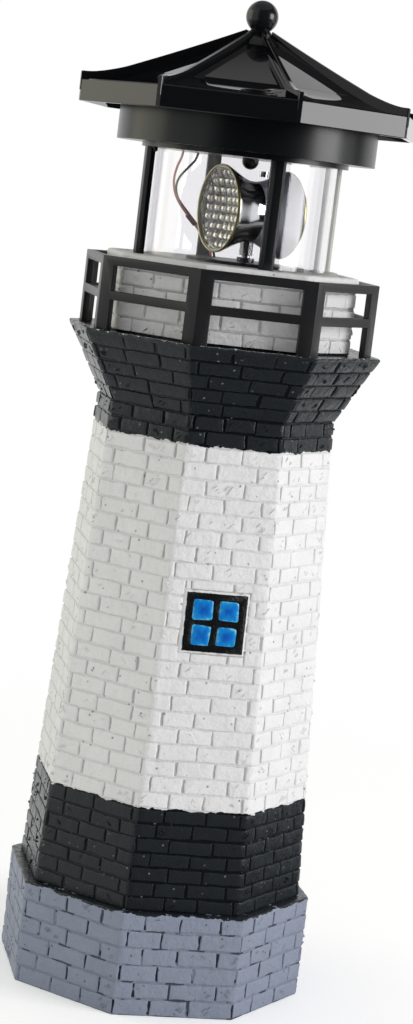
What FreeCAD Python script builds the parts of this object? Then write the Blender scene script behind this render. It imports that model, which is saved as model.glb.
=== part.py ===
import FreeCAD, Part
import math
import os
import re
import Sketcher
from FreeCAD import Placement, Rotation, Vector

# Garden lighthouse ornament, in millimetres. The origin is on the ground under the tower's axis,
# +Z is up and the window faces -Y.

doc = FreeCAD.newDocument("garden_lighthouse")
sheet = doc.addObject("Spreadsheet::Sheet", "dims")

SIZES = {
    # tower: radii are measured to the corners of the octagons
    "plinth_radius": 57.0,
    "plinth_height": 37.3,
    "shaft_foot_radius": 53.1,
    "shaft_top_radius": 43.6,
    "shaft_height": 176.6,
    "lip_radius": 57.8,
    "flare_height": 24.4,
    "drum_rim": 3.5,
    "drum_height": 27.7,
    "deck_thickness": 8.0,
    "plinth_wall": 6.0,
    "shaft_wall": 5.0,
    "drum_wall": 8.0,
    "deck_bore_clearance": 7.0,
    # window in the front face
    "window_width": 22.0,
    "window_height": 21.0,
    "window_lift": 104.5,
    "window_depth": 1.6,
    "window_border": 3.0,
    "window_bar": 2.5,
    "window_proud": 0.8,
    "pane_corner": 1.4,
    "glazing_thickness": 0.8,
    # gallery railing
    "rail_inset": 3.4,
    "rail_thickness": 2.4,
    "rail_lift": 26.3,
    "rail_height": 3.2,
    "mid_rail_lift": 14.3,
    "stile_width": 5.0,
    # lantern floor, posts and tube
    "floor_disc_margin": 1.6,
    "floor_disc_thickness": 3.0,
    "seat_clearance": 0.4,
    "post_gap": 1.0,
    "post_width": 5.4,
    "post_depth": 2.8,
    "post_chamfer": 1.2,
    "post_turn": 7.6,
    "peg_width": 2.6,
    "peg_depth": 1.6,
    "peg_length": 1.6,
    "tube_radius": 33.6,
    "tube_wall": 1.5,
    "tube_seat": 0.8,
    "beacon_headroom": 3.1,
    "collar_thickness": 1.7,
    "collar_spigot": 30.0,
    "collar_spigot_height": 2.2,
    # roof
    "housing_radius": 46.7,
    "housing_wall": 2.0,
    "housing_drop": 11.1,
    "fascia_height": 7.7,
    "fascia_radius": 63.0,
    "fascia_wall": 2.0,
    "eave_width": 6.0,
    "eave_rise": 0.3,
    "sweep_share": 0.36,
    "sweep_radius": 44.0,
    "sweep_rise": 4.1,
    "roof_rise": 17.0,
    "roof_top_radius": 5.6,
    "roof_thickness": 2.2,
    "roof_turn": -19.4,
    "rib_width": 2.4,
    "rib_height": 2.6,
    "cell_thickness": 1.0,
    "cell_margin": 1.6,
    "cell_inset": 1.5,
    "cell_length": 31.0,
    "ball_radius": 5.8,
    "neck_height": 2.8,
    "neck_radius": 2.6,
    "finial_foot": 4.6,
    "finial_stud": 1.5,
    "stud_length": 8.8,
    "attic_peak_radius": 5.5,
    "boss_radius": 3.0,
    "boss_x": 2.1,
    "boss_stub": 0.9,
    # beacon and drive, round their own upright axis
    "beacon_x": 4.4,
    "beacon_y": -0.9,
    "beacon_foot": 3.5,
    "beacon_turn": 16.6,
    "rim_reach": 13.3,
    "rim_radius": 15.7,
    "rim_depth": 4.2,
    "rim_step": 1.5,
    "bowl_radius": 13.8,
    "waist_radius": 11.0,
    "reflector_wall": 1.0,
    "lens_thickness": 1.2,
    "lens_recess": 0.9,
    "lens_ledge": 1.0,
    "bezel_width": 1.5,
    "bezel_thickness": 0.7,
    "bezel_overhang": 0.2,
    "clip_offset": 3.4,
    "clip_radius": 1.6,
    "clip_height": 2.0,
    "stem_radius": 2.55,
    "stem_gap": 0.8,
    "shaft_radius": 1.5,
    "shaft_bore": 0.95,
    "shaft_proud": 1.0,
    "lamp_post_radius": 0.85,
    "lamp_radius": 2.4,
    "lamp_barrel": 3.6,
    "lid_overhang": 1.5,
    "lid_thickness": 1.2,
    "bush_radius": 3.2,
    "bush_height": 1.4,
    "running_clearance": 0.05,
    "housing_cup_wall": 2.1,
    "board_ledge": 0.8,
    "board_thickness": 1.6,
    "board_to_lid": 9.8,
    "gear_module": 0.55,
    "gear_teeth": 32,
    "pinion_teeth": 12,
    "gear_thickness": 3.0,
    "gear_lift": 1.8,
    "motor_radius": 4.5,
    "motor_length": 16.0,
    "motor_shaft_radius": 0.75,
    "motor_shaft_seat": 3.0,
    "battery_radius": 7.1,
    "battery_length": 49.5,
    "battery_nub_radius": 2.75,
    "battery_nub": 1.0,
    "battery_offset": 9.6,
    "battery_gap": 0.4,
    "contact_radius": 3.75,
    "contact_thickness": 0.5,
    "spring_radius": 4.75,
    "spring_height": 1.6,
    "cap_thickness": 2.0,
    "screw_circle": 15.0,
    "screw_radius": 1.1,
    "screw_head": 2.0,
    "screw_length": 8.0,
    "screw_boss": 2.6,
    "screw_boss_cover": 2.0,
    "switch_x": 9.0,
    "switch_width": 5.6,
    "switch_length": 11.0,
    "switch_height": 4.4,
    "knob_width": 2.6,
    "knob_length": 3.0,
    "knob_proud": 1.6,
    "knob_travel": 3.0,
    "slide_clearance": 0.15,
    # leads
    "wire_radius": 0.45,
    "sleeve_radius": 0.95,
}

# Sizes that follow from the ones above.
DERIVED = {
    "shaft_top_height": "plinth_height + shaft_height",
    "floor_height": "shaft_top_height + flare_height",
    "deck_height": "floor_height + drum_height",
    "beacon_height": "deck_height + beacon_foot + rim_radius",
    "ceiling_height": "beacon_height + rim_radius + beacon_headroom",
    "fascia_bottom": "ceiling_height + collar_thickness + housing_drop",
    "fascia_top": "fascia_bottom + fascia_height",
    "sweep_height": "fascia_top + sweep_rise",
    "roof_top": "sweep_height + roof_rise",
    "ball_top": "roof_top + neck_height + 2 * ball_radius",
    "window_centre": "plinth_height + window_lift",
    "rail_top": "floor_height + rail_lift",
    "mid_rail_top": "floor_height + mid_rail_lift",
    "stem_bottom": "deck_height + lid_thickness + bush_height + stem_gap",
    "rail_radius": "lip_radius - rail_inset",
    "post_circle": "tube_radius + post_gap + post_depth / 2",
    "collar_radius": "post_circle + post_depth / 2",
    "floor_disc_radius": "collar_radius + floor_disc_margin",
    "drum_radius": "(floor_disc_radius + drum_rim) / cos(22.5)",
    "housing_cup_radius": "battery_offset + battery_radius + battery_gap + board_ledge + housing_cup_wall",
    "deck_bore": "housing_cup_radius + deck_bore_clearance",
    "lid_radius": "housing_cup_radius + lid_overhang",
}

for row, (name, size) in enumerate(SIZES.items(), start=1):
    sheet.set(f"A{row}", name)
    sheet.set(f"B{row}", str(size))
    sheet.setAlias(f"B{row}", name)
doc.recompute()

SIDES = 8
HALF_SIDE = 180 / SIDES
# How far a cutting shape reaches past the surface it cuts through, and a joined one into its neighbour.
BEYOND = 1
PARTS = []


def full(expression):
    """The expression with derived sizes written out and every size name pointed at the sheet."""
    text = str(expression)
    derived = r"\b(" + "|".join(DERIVED) + r")\b"
    while re.search(derived, text):
        text = re.sub(derived, lambda found: f"({DERIVED[found[0]]})", text)
    return re.sub(r"\b(" + "|".join(SIZES) + r")\b", r"dims.\1", text)


def value(expression):
    """The expression's number at present."""
    return float(sheet.evalExpression(full(expression)))


def keep(piece, label):
    """Marks a document object as a sub-part and gives it its name."""
    piece.Label = label
    PARTS.append(piece)
    return piece


def place(piece, x="0", y="0", z="0", turn="0", axis=(0, 0, 1)):
    """Puts a sub-part in place, each coordinate bound to the sheet."""
    piece.Placement = Placement(Vector(0, 0, 0), Rotation(Vector(*axis), 1))
    for coordinate, expression in zip("xyz", (x, y, z)):
        piece.setExpression(f"Placement.Base.{coordinate}", full(expression))
    piece.setExpression("Placement.Rotation.Angle", full(turn))
    return piece


# ---- sketches and features of a body ----

def body(name):
    return doc.addObject("PartDesign::Body", name + "_body")


def origin_plane(owner, role):
    return next(item for item in owner.Origin.OriginFeatures if item.Role == role)


def sketch_on(owner, role, offset="0"):
    """A sketch on one of the body's origin planes, moved along the plane's normal."""
    sketch = owner.newObject("Sketcher::SketchObject", "sketch")
    sketch.AttachmentSupport = [(origin_plane(owner, role), "")]
    sketch.MapMode = "FlatFace"
    sketch.setExpression("AttachmentOffset.Base.z", full(offset))
    return sketch


def tilt(sketch, angle, axis):
    """Turns a sketch within its plane's frame."""
    base = sketch.AttachmentOffset.Base
    sketch.AttachmentOffset = Placement(base, Rotation(Vector(*axis), 1))
    sketch.setExpression("AttachmentOffset.Rotation.Angle", full(angle))


def pin(sketch, kind, geometry, point, expression):
    """Fixes one coordinate of a point to an expression of the sheet."""
    number = sketch.addConstraint(Sketcher.Constraint(kind, -1, 1, geometry, point, value(expression)))
    sketch.setExpression(f"Constraints[{number}]", full(expression))


def outline(sketch, corners):
    """A closed polygon whose corners are pairs of expressions."""
    points = [Vector(value(across), value(along), 0) for across, along in corners]
    first = sketch.GeometryCount
    for start, end in zip(points, points[1:] + points[:1]):
        sketch.addGeometry(Part.LineSegment(start, end), False)
    count = len(corners)
    for index in range(count):
        following = first + (index + 1) % count
        sketch.addConstraint(Sketcher.Constraint("Coincident", first + index, 2, following, 1))
    for index, (across, along) in enumerate(corners):
        pin(sketch, "DistanceX", first + index, 1, across)
        pin(sketch, "DistanceY", first + index, 1, along)


def circle(sketch, radius, across="0", along="0"):
    centre = Vector(value(across), value(along), 0)
    index = sketch.addGeometry(Part.Circle(centre, Vector(0, 0, 1), value(radius)), False)
    pin(sketch, "DistanceX", index, 3, across)
    pin(sketch, "DistanceY", index, 3, along)
    number = sketch.addConstraint(Sketcher.Constraint("Radius", index, value(radius)))
    sketch.setExpression(f"Constraints[{number}]", full(radius))


def rectangle(sketch, width, length, across="0", along="0"):
    left = f"{across} - ({width}) / 2"
    right = f"{across} + ({width}) / 2"
    low = f"{along} - ({length}) / 2"
    high = f"{along} + ({length}) / 2"
    outline(sketch, [(left, low), (right, low), (right, high), (left, high)])


def rounded_rectangle(sketch, width, length, radius, across="0", along="0"):
    """A rectangle whose corners are arcs of the given radius."""
    quarter = math.pi / 2
    ends = []
    arcs = []
    for turn, (side, level) in enumerate(((1, 1), (-1, 1), (-1, -1), (1, -1))):
        centre_x = f"{across} + {side} * (({width}) / 2 - {radius})"
        centre_y = f"{along} + {level} * (({length}) / 2 - {radius})"
        beside = (f"{centre_x} + {side} * {radius}", centre_y)
        above = (centre_x, f"{centre_y} + {level} * {radius}")
        ends.append((beside, above) if side * level > 0 else (above, beside))
        ring = Part.Circle(Vector(value(centre_x), value(centre_y), 0), Vector(0, 0, 1), value(radius))
        arcs.append(sketch.addGeometry(Part.ArcOfCircle(ring, turn * quarter, (turn + 1) * quarter), False))
        pin(sketch, "DistanceX", arcs[-1], 3, centre_x)
    for index, (start, end) in enumerate(ends):
        following = (index + 1) % len(ends)
        corner = Vector(value(end[0]), value(end[1]), 0)
        onward = Vector(value(ends[following][0][0]), value(ends[following][0][1]), 0)
        line = sketch.addGeometry(Part.LineSegment(corner, onward), False)
        sketch.addConstraint(Sketcher.Constraint("Coincident", arcs[index], 2, line, 1))
        sketch.addConstraint(Sketcher.Constraint("Coincident", line, 2, arcs[following], 1))
        for point, place_of in ((1, start), (2, end)):
            pin(sketch, "DistanceX", arcs[index], point, place_of[0])
            pin(sketch, "DistanceY", arcs[index], point, place_of[1])


def octagon(sketch, radius):
    """An octagon with a side square to -Y, given the radius of its corners."""
    corners = []
    for index in range(SIDES):
        angle = 360 * (index + 0.5) / SIDES
        corners.append((f"({radius}) * cos({angle})", f"({radius}) * sin({angle})"))
    outline(sketch, corners)


def pad(owner, sketch, length, both_ways=False, reverse=False):
    feature = owner.newObject("PartDesign::Pad", "pad")
    feature.Profile = sketch
    feature.Midplane = both_ways
    feature.Reversed = reverse
    feature.setExpression("Length", full(length))
    return feature


def pocket(owner, sketch, length, both_ways=False, reverse=False):
    feature = owner.newObject("PartDesign::Pocket", "pocket")
    feature.Profile = sketch
    feature.Midplane = both_ways
    feature.Reversed = reverse
    feature.setExpression("Length", full(length))
    return feature


def turned(owner, sketch, axis="V_Axis", cut=False):
    """The sketch turned round one of its own axes."""
    kind = "Groove" if cut else "Revolution"
    feature = owner.newObject("PartDesign::" + kind, kind.lower())
    feature.Profile = sketch
    feature.ReferenceAxis = (sketch, [axis])
    feature.Angle = 360
    return feature


def lofted(owner, sections, cut=False):
    feature = owner.newObject("PartDesign::" + ("Subtractive" if cut else "Additive") + "Loft", "loft")
    feature.Profile = sections[0]
    feature.Sections = sections[1:]
    feature.Ruled = True
    return feature


def octagon_stack(owner, sections, cut=False):
    """A loft through level octagons, given as pairs of corner radius and height."""
    sketches = []
    for radius, height in sections:
        sketch = sketch_on(owner, "XY_Plane", height)
        octagon(sketch, radius)
        sketches.append(sketch)
    return lofted(owner, sketches, cut)


def around(owner, feature, count):
    """Repeats a feature round the body's Z axis."""
    pattern = owner.newObject("PartDesign::PolarPattern", "pattern")
    pattern.Originals = [feature]
    pattern.Axis = (origin_plane(owner, "Z_Axis"), [""])
    pattern.Angle = 360
    pattern.Occurrences = count
    owner.Tip = pattern
    return pattern


def turned_piece(name, corners, centre=("0", "0")):
    """A sub-part turned from one outline of radius and height pairs."""
    owner = body(name)
    sketch = sketch_on(owner, "XZ_Plane")
    outline(sketch, corners)
    turned(owner, sketch)
    place(owner, *centre)
    return keep(owner, name)


# ---- plain solids and their joins ----

def solid(kind, sizes, x, y, z):
    item = doc.addObject("Part::" + kind, kind.lower())
    for prop, expression in sizes.items():
        item.setExpression(prop, full(expression))
    return moved(item, x, y, z)


def moved(item, x="0", y="0", z="0"):
    for coordinate, expression in zip("xyz", (x, y, z)):
        item.setExpression(f"Placement.Base.{coordinate}", full(expression))
    return item


def cylinder(radius, height, x, y, z):
    return solid("Cylinder", {"Radius": radius, "Height": height}, x, y, z)


def cone(radius, top_radius, height, x, y, z):
    return solid("Cone", {"Radius1": radius, "Radius2": top_radius, "Height": height}, x, y, z)


def sphere(radius, x, y, z):
    return solid("Sphere", {"Radius": radius}, x, y, z)


def fused(items):
    join = doc.addObject("Part::MultiFuse", "join")
    join.Shapes = items
    join.Refine = True
    return join


def without(base, tool):
    cut = doc.addObject("Part::Cut", "cut")
    cut.Base = base
    cut.Tool = tool
    return cut


BEACON_AXIS = ("beacon_x", "beacon_y")
POSTS = 4

# The leads run from the roof down to the drive's lid, kept clear of the beacon. Each point is given
# as shares: across and along of the tube's radius, and height of the clear height above the deck.
RED_ROUTE = [
    (-0.6012, 0.4048, 1.1421),
    (-0.6012, 0.4048, 0.9684),
    (-0.6637, 0.3899, 0.8474),
    (-0.6875, 0.3810, 0.7000),
    (-0.6369, 0.4048, 0.5632),
    (-0.5238, 0.4673, 0.4474),
    (-0.3095, 0.5565, 0.2763),
    (-0.2262, 0.4940, 0.1553),
    (-0.1637, 0.3810, 0.0684),
    (-0.1637, 0.3810, -0.0421),
]
BLACK_ROUTE = [
    (-0.4107, 0.5000, 1.1421),
    (-0.4107, 0.5000, 0.9579),
    (-0.5238, 0.4762, 0.8474),
    (-0.6429, 0.4464, 0.7158),
    (-0.6220, 0.4643, 0.5684),
    (-0.5030, 0.5268, 0.4605),
    (-0.2887, 0.6161, 0.2895),
    (-0.1905, 0.5536, 0.1632),
    (-0.1190, 0.4137, 0.0684),
    (-0.1190, 0.4137, -0.0421),
]


def route_place(share):
    """Where a point of a lead lies in plan."""
    return f"({share[0]} * tube_radius)", f"({share[1]} * tube_radius)"


# ---- tower ----

# The shaft's flat faces lean inwards by this much for each millimetre of height.
COS_HALF = f"cos({HALF_SIDE})"
LEAN = f"(shaft_foot_radius - shaft_top_radius) * {COS_HALF} / (shaft_top_height - plinth_height)"
WINDOW_FACE = f"(shaft_foot_radius * {COS_HALF} - {LEAN} * (window_centre - plinth_height))"


def window_place(piece, depth):
    """Puts a sub-part on the front face, leaning with it, so many millimetres behind the face."""
    along = f"({depth}) * cos(atan({LEAN})) - {WINDOW_FACE}"
    height = f"window_centre - ({depth}) * sin(atan({LEAN}))"
    place(piece, "0", along, height, f"90 deg - atan({LEAN})", (1, 0, 0))


def tower_casting():
    owner = body("tower_casting")
    octagon_stack(owner, [("plinth_radius", "0"), ("plinth_radius", "plinth_height")])
    shaft = [("shaft_foot_radius", "plinth_height"), ("shaft_top_radius", "shaft_top_height")]
    octagon_stack(owner, shaft + [("lip_radius", "floor_height")])
    octagon_stack(owner, [("drum_radius", "floor_height"), ("drum_radius", "deck_height")])
    inside = [
        ("plinth_radius - plinth_wall", "0"),
        ("shaft_foot_radius - shaft_wall", "plinth_height - plinth_wall"),
        ("shaft_top_radius - shaft_wall", "shaft_top_height"),
        ("drum_radius - drum_wall", "deck_height - deck_thickness"),
    ]
    octagon_stack(owner, inside, cut=True)
    bore = sketch_on(owner, "XY_Plane", "deck_height")
    circle(bore, "deck_bore")
    pocket(owner, bore, f"deck_thickness + {BEYOND}")
    seat = sketch_on(owner, "XY_Plane", "deck_height")
    circle(seat, "floor_disc_radius + seat_clearance")
    pocket(owner, seat, "floor_disc_thickness")
    recess = sketch_on(owner, "XZ_Plane", WINDOW_FACE)
    tilt(recess, f"atan({LEAN})", (-1, 0, 0))
    recess.setExpression("AttachmentOffset.Base.y", full("window_centre"))
    rectangle(recess, "window_width + 2 * slide_clearance", "window_height + 2 * slide_clearance")
    pocket(owner, recess, "window_depth")
    return keep(owner, "tower_casting")


def window_frame():
    owner = body("window_frame")
    plate = sketch_on(owner, "XY_Plane")
    rectangle(plate, "window_width", "window_height")
    pad(owner, plate, "window_depth - glazing_thickness + window_proud")
    pane_width = "((window_width - window_bar) / 2 - window_border)"
    pane_height = "((window_height - window_bar) / 2 - window_border)"
    for side in ("-", ""):
        for level in ("-", ""):
            opening = sketch_on(owner, "XY_Plane")
            across = f"{side}({pane_width} + window_bar) / 2"
            along = f"{level}({pane_height} + window_bar) / 2"
            rounded_rectangle(opening, pane_width, pane_height, "pane_corner", across, along)
            pocket(owner, opening, "window_depth + window_proud", reverse=True)
    window_place(owner, "window_depth - glazing_thickness")
    return keep(owner, "window_frame")


def window_glazing():
    owner = body("window_glazing")
    plate = sketch_on(owner, "XY_Plane")
    rectangle(plate, "window_width", "window_height")
    pad(owner, plate, "glazing_thickness")
    window_place(owner, "window_depth")
    return keep(owner, "window_glazing")


def gallery_railing():
    owner = body("gallery_railing")
    ring = sketch_on(owner, "XY_Plane", "floor_height")
    octagon(ring, "rail_radius")
    octagon(ring, f"rail_radius - rail_thickness / {COS_HALF}")
    pad(owner, ring, "rail_top - floor_height")
    gap_width = f"2 * rail_radius * sin({HALF_SIDE}) - 2 * stile_width"
    upper_top = "rail_top - rail_height"
    lower_bottom = f"floor_height - {BEYOND}"
    lower_top = "mid_rail_top - rail_height"
    gaps = sketch_on(owner, "XZ_Plane")
    for low, high in (("mid_rail_top", upper_top), (lower_bottom, lower_top)):
        rectangle(gaps, gap_width, f"{high} - ({low})", "0", f"({high} + {low}) / 2")
    cut = pocket(owner, gaps, f"rail_radius + {BEYOND}")
    around(owner, cut, SIDES)
    return keep(owner, "gallery_railing")


# ---- lantern cage ----

def peg_holes(owner, height, upward=False):
    """Four square sockets for the posts' pegs."""
    socket = sketch_on(owner, "XY_Plane", height)
    tilt(socket, "post_turn", (0, 0, 1))
    rectangle(socket, "peg_depth + 2 * slide_clearance", "peg_width + 2 * slide_clearance", "post_circle")
    cut = pocket(owner, socket, "peg_length + slide_clearance", reverse=upward)
    around(owner, cut, POSTS)


def tube_groove(owner, height, upward=False):
    groove = sketch_on(owner, "XY_Plane", height)
    circle(groove, "tube_radius + slide_clearance")
    circle(groove, "tube_radius - tube_wall - slide_clearance")
    pocket(owner, groove, "tube_seat", reverse=upward)


def lantern_floor():
    owner = body("lantern_floor")
    disc = sketch_on(owner, "XY_Plane", "deck_height - floor_disc_thickness")
    circle(disc, "floor_disc_radius")
    circle(disc, "housing_cup_radius + seat_clearance", *BEACON_AXIS)
    pad(owner, disc, "floor_disc_thickness")
    tube_groove(owner, "deck_height")
    peg_holes(owner, "deck_height")
    return keep(owner, "lantern_floor")


def cage_post(number):
    name = f"cage_post_{number}"
    owner = body(name)
    bar = sketch_on(owner, "XY_Plane", "deck_height")
    near = "post_circle - post_depth / 2"
    far = "post_circle + post_depth / 2"
    section = [
        (near, "-post_width / 2"),
        (f"{far} - post_chamfer", "-post_width / 2"),
        (far, "post_chamfer - post_width / 2"),
        (far, "post_width / 2 - post_chamfer"),
        (f"{far} - post_chamfer", "post_width / 2"),
        (near, "post_width / 2"),
    ]
    outline(bar, section)
    pad(owner, bar, "ceiling_height - deck_height")
    peg = sketch_on(owner, "XY_Plane", "deck_height - peg_length")
    rectangle(peg, "peg_depth", "peg_width", "post_circle")
    pad(owner, peg, "ceiling_height - deck_height + 2 * peg_length")
    place(owner, turn=f"post_turn + {360 * (number - 1) / POSTS}")
    return keep(owner, name)


def clear_tube():
    low = "deck_height - tube_seat"
    high = "ceiling_height + tube_seat"
    inner = "tube_radius - tube_wall"
    turned_piece("clear_tube", [(inner, low), ("tube_radius", low), ("tube_radius", high), (inner, high)])


def upper_collar():
    owner = body("upper_collar")
    disc = sketch_on(owner, "XY_Plane", "ceiling_height")
    circle(disc, "collar_radius")
    pad(owner, disc, "collar_thickness")
    spigot = sketch_on(owner, "XY_Plane", "ceiling_height")
    circle(spigot, "collar_spigot")
    pad(owner, spigot, "collar_thickness + collar_spigot_height")
    tube_groove(owner, "ceiling_height", upward=True)
    leads = sketch_on(owner, "XY_Plane", "ceiling_height")
    for route in (RED_ROUTE, BLACK_ROUTE):
        circle(leads, "wire_radius + slide_clearance", *route_place(route[0]))
    pocket(owner, leads, f"collar_thickness + collar_spigot_height + {BEYOND}", reverse=True)
    peg_holes(owner, "ceiling_height", upward=True)
    return keep(owner, "upper_collar")


def ceiling_boss():
    centre = ("boss_x", "0", "ceiling_height - boss_stub")
    reach = f"boss_radius + {BEYOND}"
    stub = cylinder("boss_radius", "boss_stub", *centre)
    dome = without(sphere("boss_radius", *centre), cylinder(reach, reach, *centre))
    return keep(fused([stub, dome]), "ceiling_boss")


# ---- roof ----

COLLAR_TOP = "(ceiling_height + collar_thickness)"
# Rise of the roof's hips, and of its facets, for each millimetre inwards.
HIP_RISE = "((roof_top - sweep_height) / (sweep_radius - roof_top_radius))"
FACET_RISE = f"({HIP_RISE} / {COS_HALF})"
SOFFIT = "(fascia_top - roof_thickness)"
# The cells end a little inside the line where the roof starts to flatten.
CELL_REACH = f"(sweep_radius * {COS_HALF} - cell_inset - cell_length / 2 * cos(atan({FACET_RISE})))"
CELL_HEIGHT = f"(roof_top + {HIP_RISE} * roof_top_radius - {FACET_RISE} * {CELL_REACH})"


def roof_housing():
    inner = "housing_radius - housing_wall"
    hole = "collar_spigot + slide_clearance"
    floor_top = f"{COLLAR_TOP} + housing_wall"
    corners = [
        (hole, COLLAR_TOP),
        ("housing_radius", COLLAR_TOP),
        ("housing_radius", SOFFIT),
        (inner, SOFFIT),
        (inner, floor_top),
        (hole, floor_top),
    ]
    turned_piece("roof_housing", corners)


def hip_height(radius):
    """Height of the roof's straight hip at a corner radius."""
    return f"(roof_top - {HIP_RISE} * ({radius} - roof_top_radius))"


def facet_sketch(owner):
    """A sketch lying on the facet that faces +X, with its origin halfway up the solar cell."""
    sketch = sketch_on(owner, "XY_Plane")
    tilt(sketch, f"atan({FACET_RISE})", (0, 1, 0))
    sketch.setExpression("AttachmentOffset.Base.x", full(CELL_REACH))
    sketch.setExpression("AttachmentOffset.Base.z", full(CELL_HEIGHT))
    return sketch


def cell_outline(sketch, clearance):
    """The long trapezium of one solar cell, narrower by a clearance all round."""
    corners = []
    for end, sides in ((-1, (1, -1)), (1, (-1, 1))):
        along = f"{end} * (cell_length / 2 - {clearance})"
        reach = f"({CELL_REACH} + {along} * cos(atan({FACET_RISE})))"
        half = f"({reach} * tan({HALF_SIDE}) - rib_width / 2 - cell_margin - {clearance})"
        for side in sides:
            corners.append((along, f"{side} * {half}"))
    outline(sketch, corners)


def roof_shell():
    owner = body("roof_shell")
    eave = "(fascia_radius - eave_width)"
    middle = f"({eave} + sweep_radius) / 2"
    middle_height = "(fascia_top + (sweep_height - fascia_top) * sweep_share)"
    octagon_stack(owner, [("fascia_radius", "fascia_bottom"), ("fascia_radius", "fascia_top")])
    slope = [
        (eave, f"fascia_top - {BEYOND}"),
        (eave, "fascia_top"),
        (middle, middle_height),
        ("sweep_radius", "sweep_height"),
        ("roof_top_radius", "roof_top"),
    ]
    octagon_stack(owner, slope)
    rib = sketch_on(owner, "XZ_Plane")
    tilt(rib, HALF_SIDE, (0, 1, 0))
    crest = [
        ("fascia_radius", "fascia_bottom"),
        ("fascia_radius", "fascia_top + rib_height"),
        (eave, "fascia_top + rib_height + eave_rise"),
        (middle, f"{middle_height} + rib_height"),
        ("sweep_radius", "sweep_height + rib_height"),
        ("roof_top_radius", "roof_top + rib_height / 2"),
    ]
    outline(rib, crest + [("roof_top_radius", "fascia_bottom")])
    ridge = pad(owner, rib, "rib_width", both_ways=True)
    around(owner, ridge, SIDES)
    skirt = "fascia_radius - fascia_wall"
    octagon_stack(owner, [(skirt, f"fascia_bottom - {BEYOND}"), (skirt, SOFFIT)], cut=True)
    attic = [
        ("housing_radius - housing_wall", f"{SOFFIT} - {BEYOND}"),
        ("housing_radius - housing_wall", SOFFIT),
        ("sweep_radius - roof_thickness", "sweep_height - roof_thickness"),
        ("attic_peak_radius", f"{hip_height('attic_peak_radius')} - 2 * roof_thickness"),
    ]
    octagon_stack(owner, attic, cut=True)
    cell = facet_sketch(owner)
    cell_outline(cell, "0")
    seat = pocket(owner, cell, "cell_thickness")
    around(owner, seat, SIDES)
    stud = sketch_on(owner, "XY_Plane", "roof_top + rib_height")
    circle(stud, "finial_stud + slide_clearance")
    pocket(owner, stud, "stud_length")
    owner.setExpression("Placement.Rotation.Angle", full("roof_turn"))
    return keep(owner, "roof_shell")


def solar_cell(number):
    name = f"solar_cell_{number}"
    owner = body(name)
    cell = facet_sketch(owner)
    cell_outline(cell, "slide_clearance")
    pad(owner, cell, "cell_thickness", reverse=True)
    place(owner, turn=f"roof_turn + {360 * (number - 1) / SIDES}")
    return keep(owner, name)


def finial_ball():
    centre = "ball_top - ball_radius"
    ball = sphere("ball_radius", "0", "0", centre)
    neck = cylinder("neck_radius", f"{centre} - roof_top", "0", "0", "roof_top")
    foot = cone("finial_foot", "neck_radius", "neck_radius", "0", "0", "roof_top + rib_height / 2")
    stud = cylinder("finial_stud", "stud_length", "0", "0", "roof_top + rib_height - stud_length")
    return keep(fused([ball, neck, foot, stud]), "finial_ball")


# ---- drive under the deck, round the beacon's upright axis ----

LID_TOP = "(deck_height + lid_thickness)"
BOARD_TOP = "(deck_height - board_to_lid)"
BOARD_BOTTOM = f"({BOARD_TOP} - board_thickness)"
BATTERY_BOTTOM = f"({BOARD_BOTTOM} - contact_thickness - battery_nub - battery_length)"
CAP_TOP = f"({BATTERY_BOTTOM} - spring_height)"
CAP_BOTTOM = f"({CAP_TOP} - cap_thickness)"
GEAR_BOTTOM = f"({BOARD_TOP} + gear_lift)"
MOTOR_REACH = "(gear_module * (gear_teeth + pinion_teeth) / 2)"
CUP_INNER = "(housing_cup_radius - housing_cup_wall)"
CUP_LOWER = f"({CUP_INNER} - board_ledge)"


def drive_lid():
    owner = body("drive_lid")
    disc = sketch_on(owner, "XY_Plane", "deck_height")
    circle(disc, "lid_radius")
    circle(disc, "bush_radius")
    for route in (RED_ROUTE, BLACK_ROUTE):
        across, along = route_place(route[-1])
        hole = (f"{across} - beacon_x", f"{along} - beacon_y")
        circle(disc, "wire_radius + slide_clearance", *hole)
    pad(owner, disc, "lid_thickness")
    place(owner, *BEACON_AXIS)
    return keep(owner, "drive_lid")


def shaft_bush():
    bore = "shaft_radius + running_clearance"
    low = "deck_height - lid_thickness"
    high = f"{LID_TOP} + bush_height"
    corners = [(bore, low), ("bush_radius", low), ("bush_radius", high), (bore, high)]
    turned_piece("shaft_bush", corners, BEACON_AXIS)


def drive_housing():
    owner = body("drive_housing")
    wall = sketch_on(owner, "XZ_Plane")
    corners = [
        (CUP_LOWER, CAP_TOP),
        ("housing_cup_radius", CAP_TOP),
        ("housing_cup_radius", "deck_height"),
        (CUP_INNER, "deck_height"),
        (CUP_INNER, BOARD_BOTTOM),
        (CUP_LOWER, BOARD_BOTTOM),
    ]
    outline(wall, corners)
    turned(owner, wall)
    boss = sketch_on(owner, "XY_Plane", CAP_TOP)
    circle(boss, "screw_boss", "0", "screw_circle")
    column = pad(owner, boss, "screw_length + screw_boss_cover")
    around(owner, column, 2)
    pilot = sketch_on(owner, "XY_Plane", CAP_TOP)
    circle(pilot, "screw_radius", "0", "screw_circle")
    hole = pocket(owner, pilot, "screw_length", reverse=True)
    around(owner, hole, 2)
    place(owner, *BEACON_AXIS)
    return keep(owner, "drive_housing")


def circuit_board():
    owner = body("circuit_board")
    disc = sketch_on(owner, "XY_Plane", BOARD_BOTTOM)
    circle(disc, f"{CUP_INNER} - slide_clearance")
    circle(disc, "motor_shaft_radius + seat_clearance", MOTOR_REACH)
    pad(owner, disc, "board_thickness")
    place(owner, *BEACON_AXIS)
    return keep(owner, "circuit_board")


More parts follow.
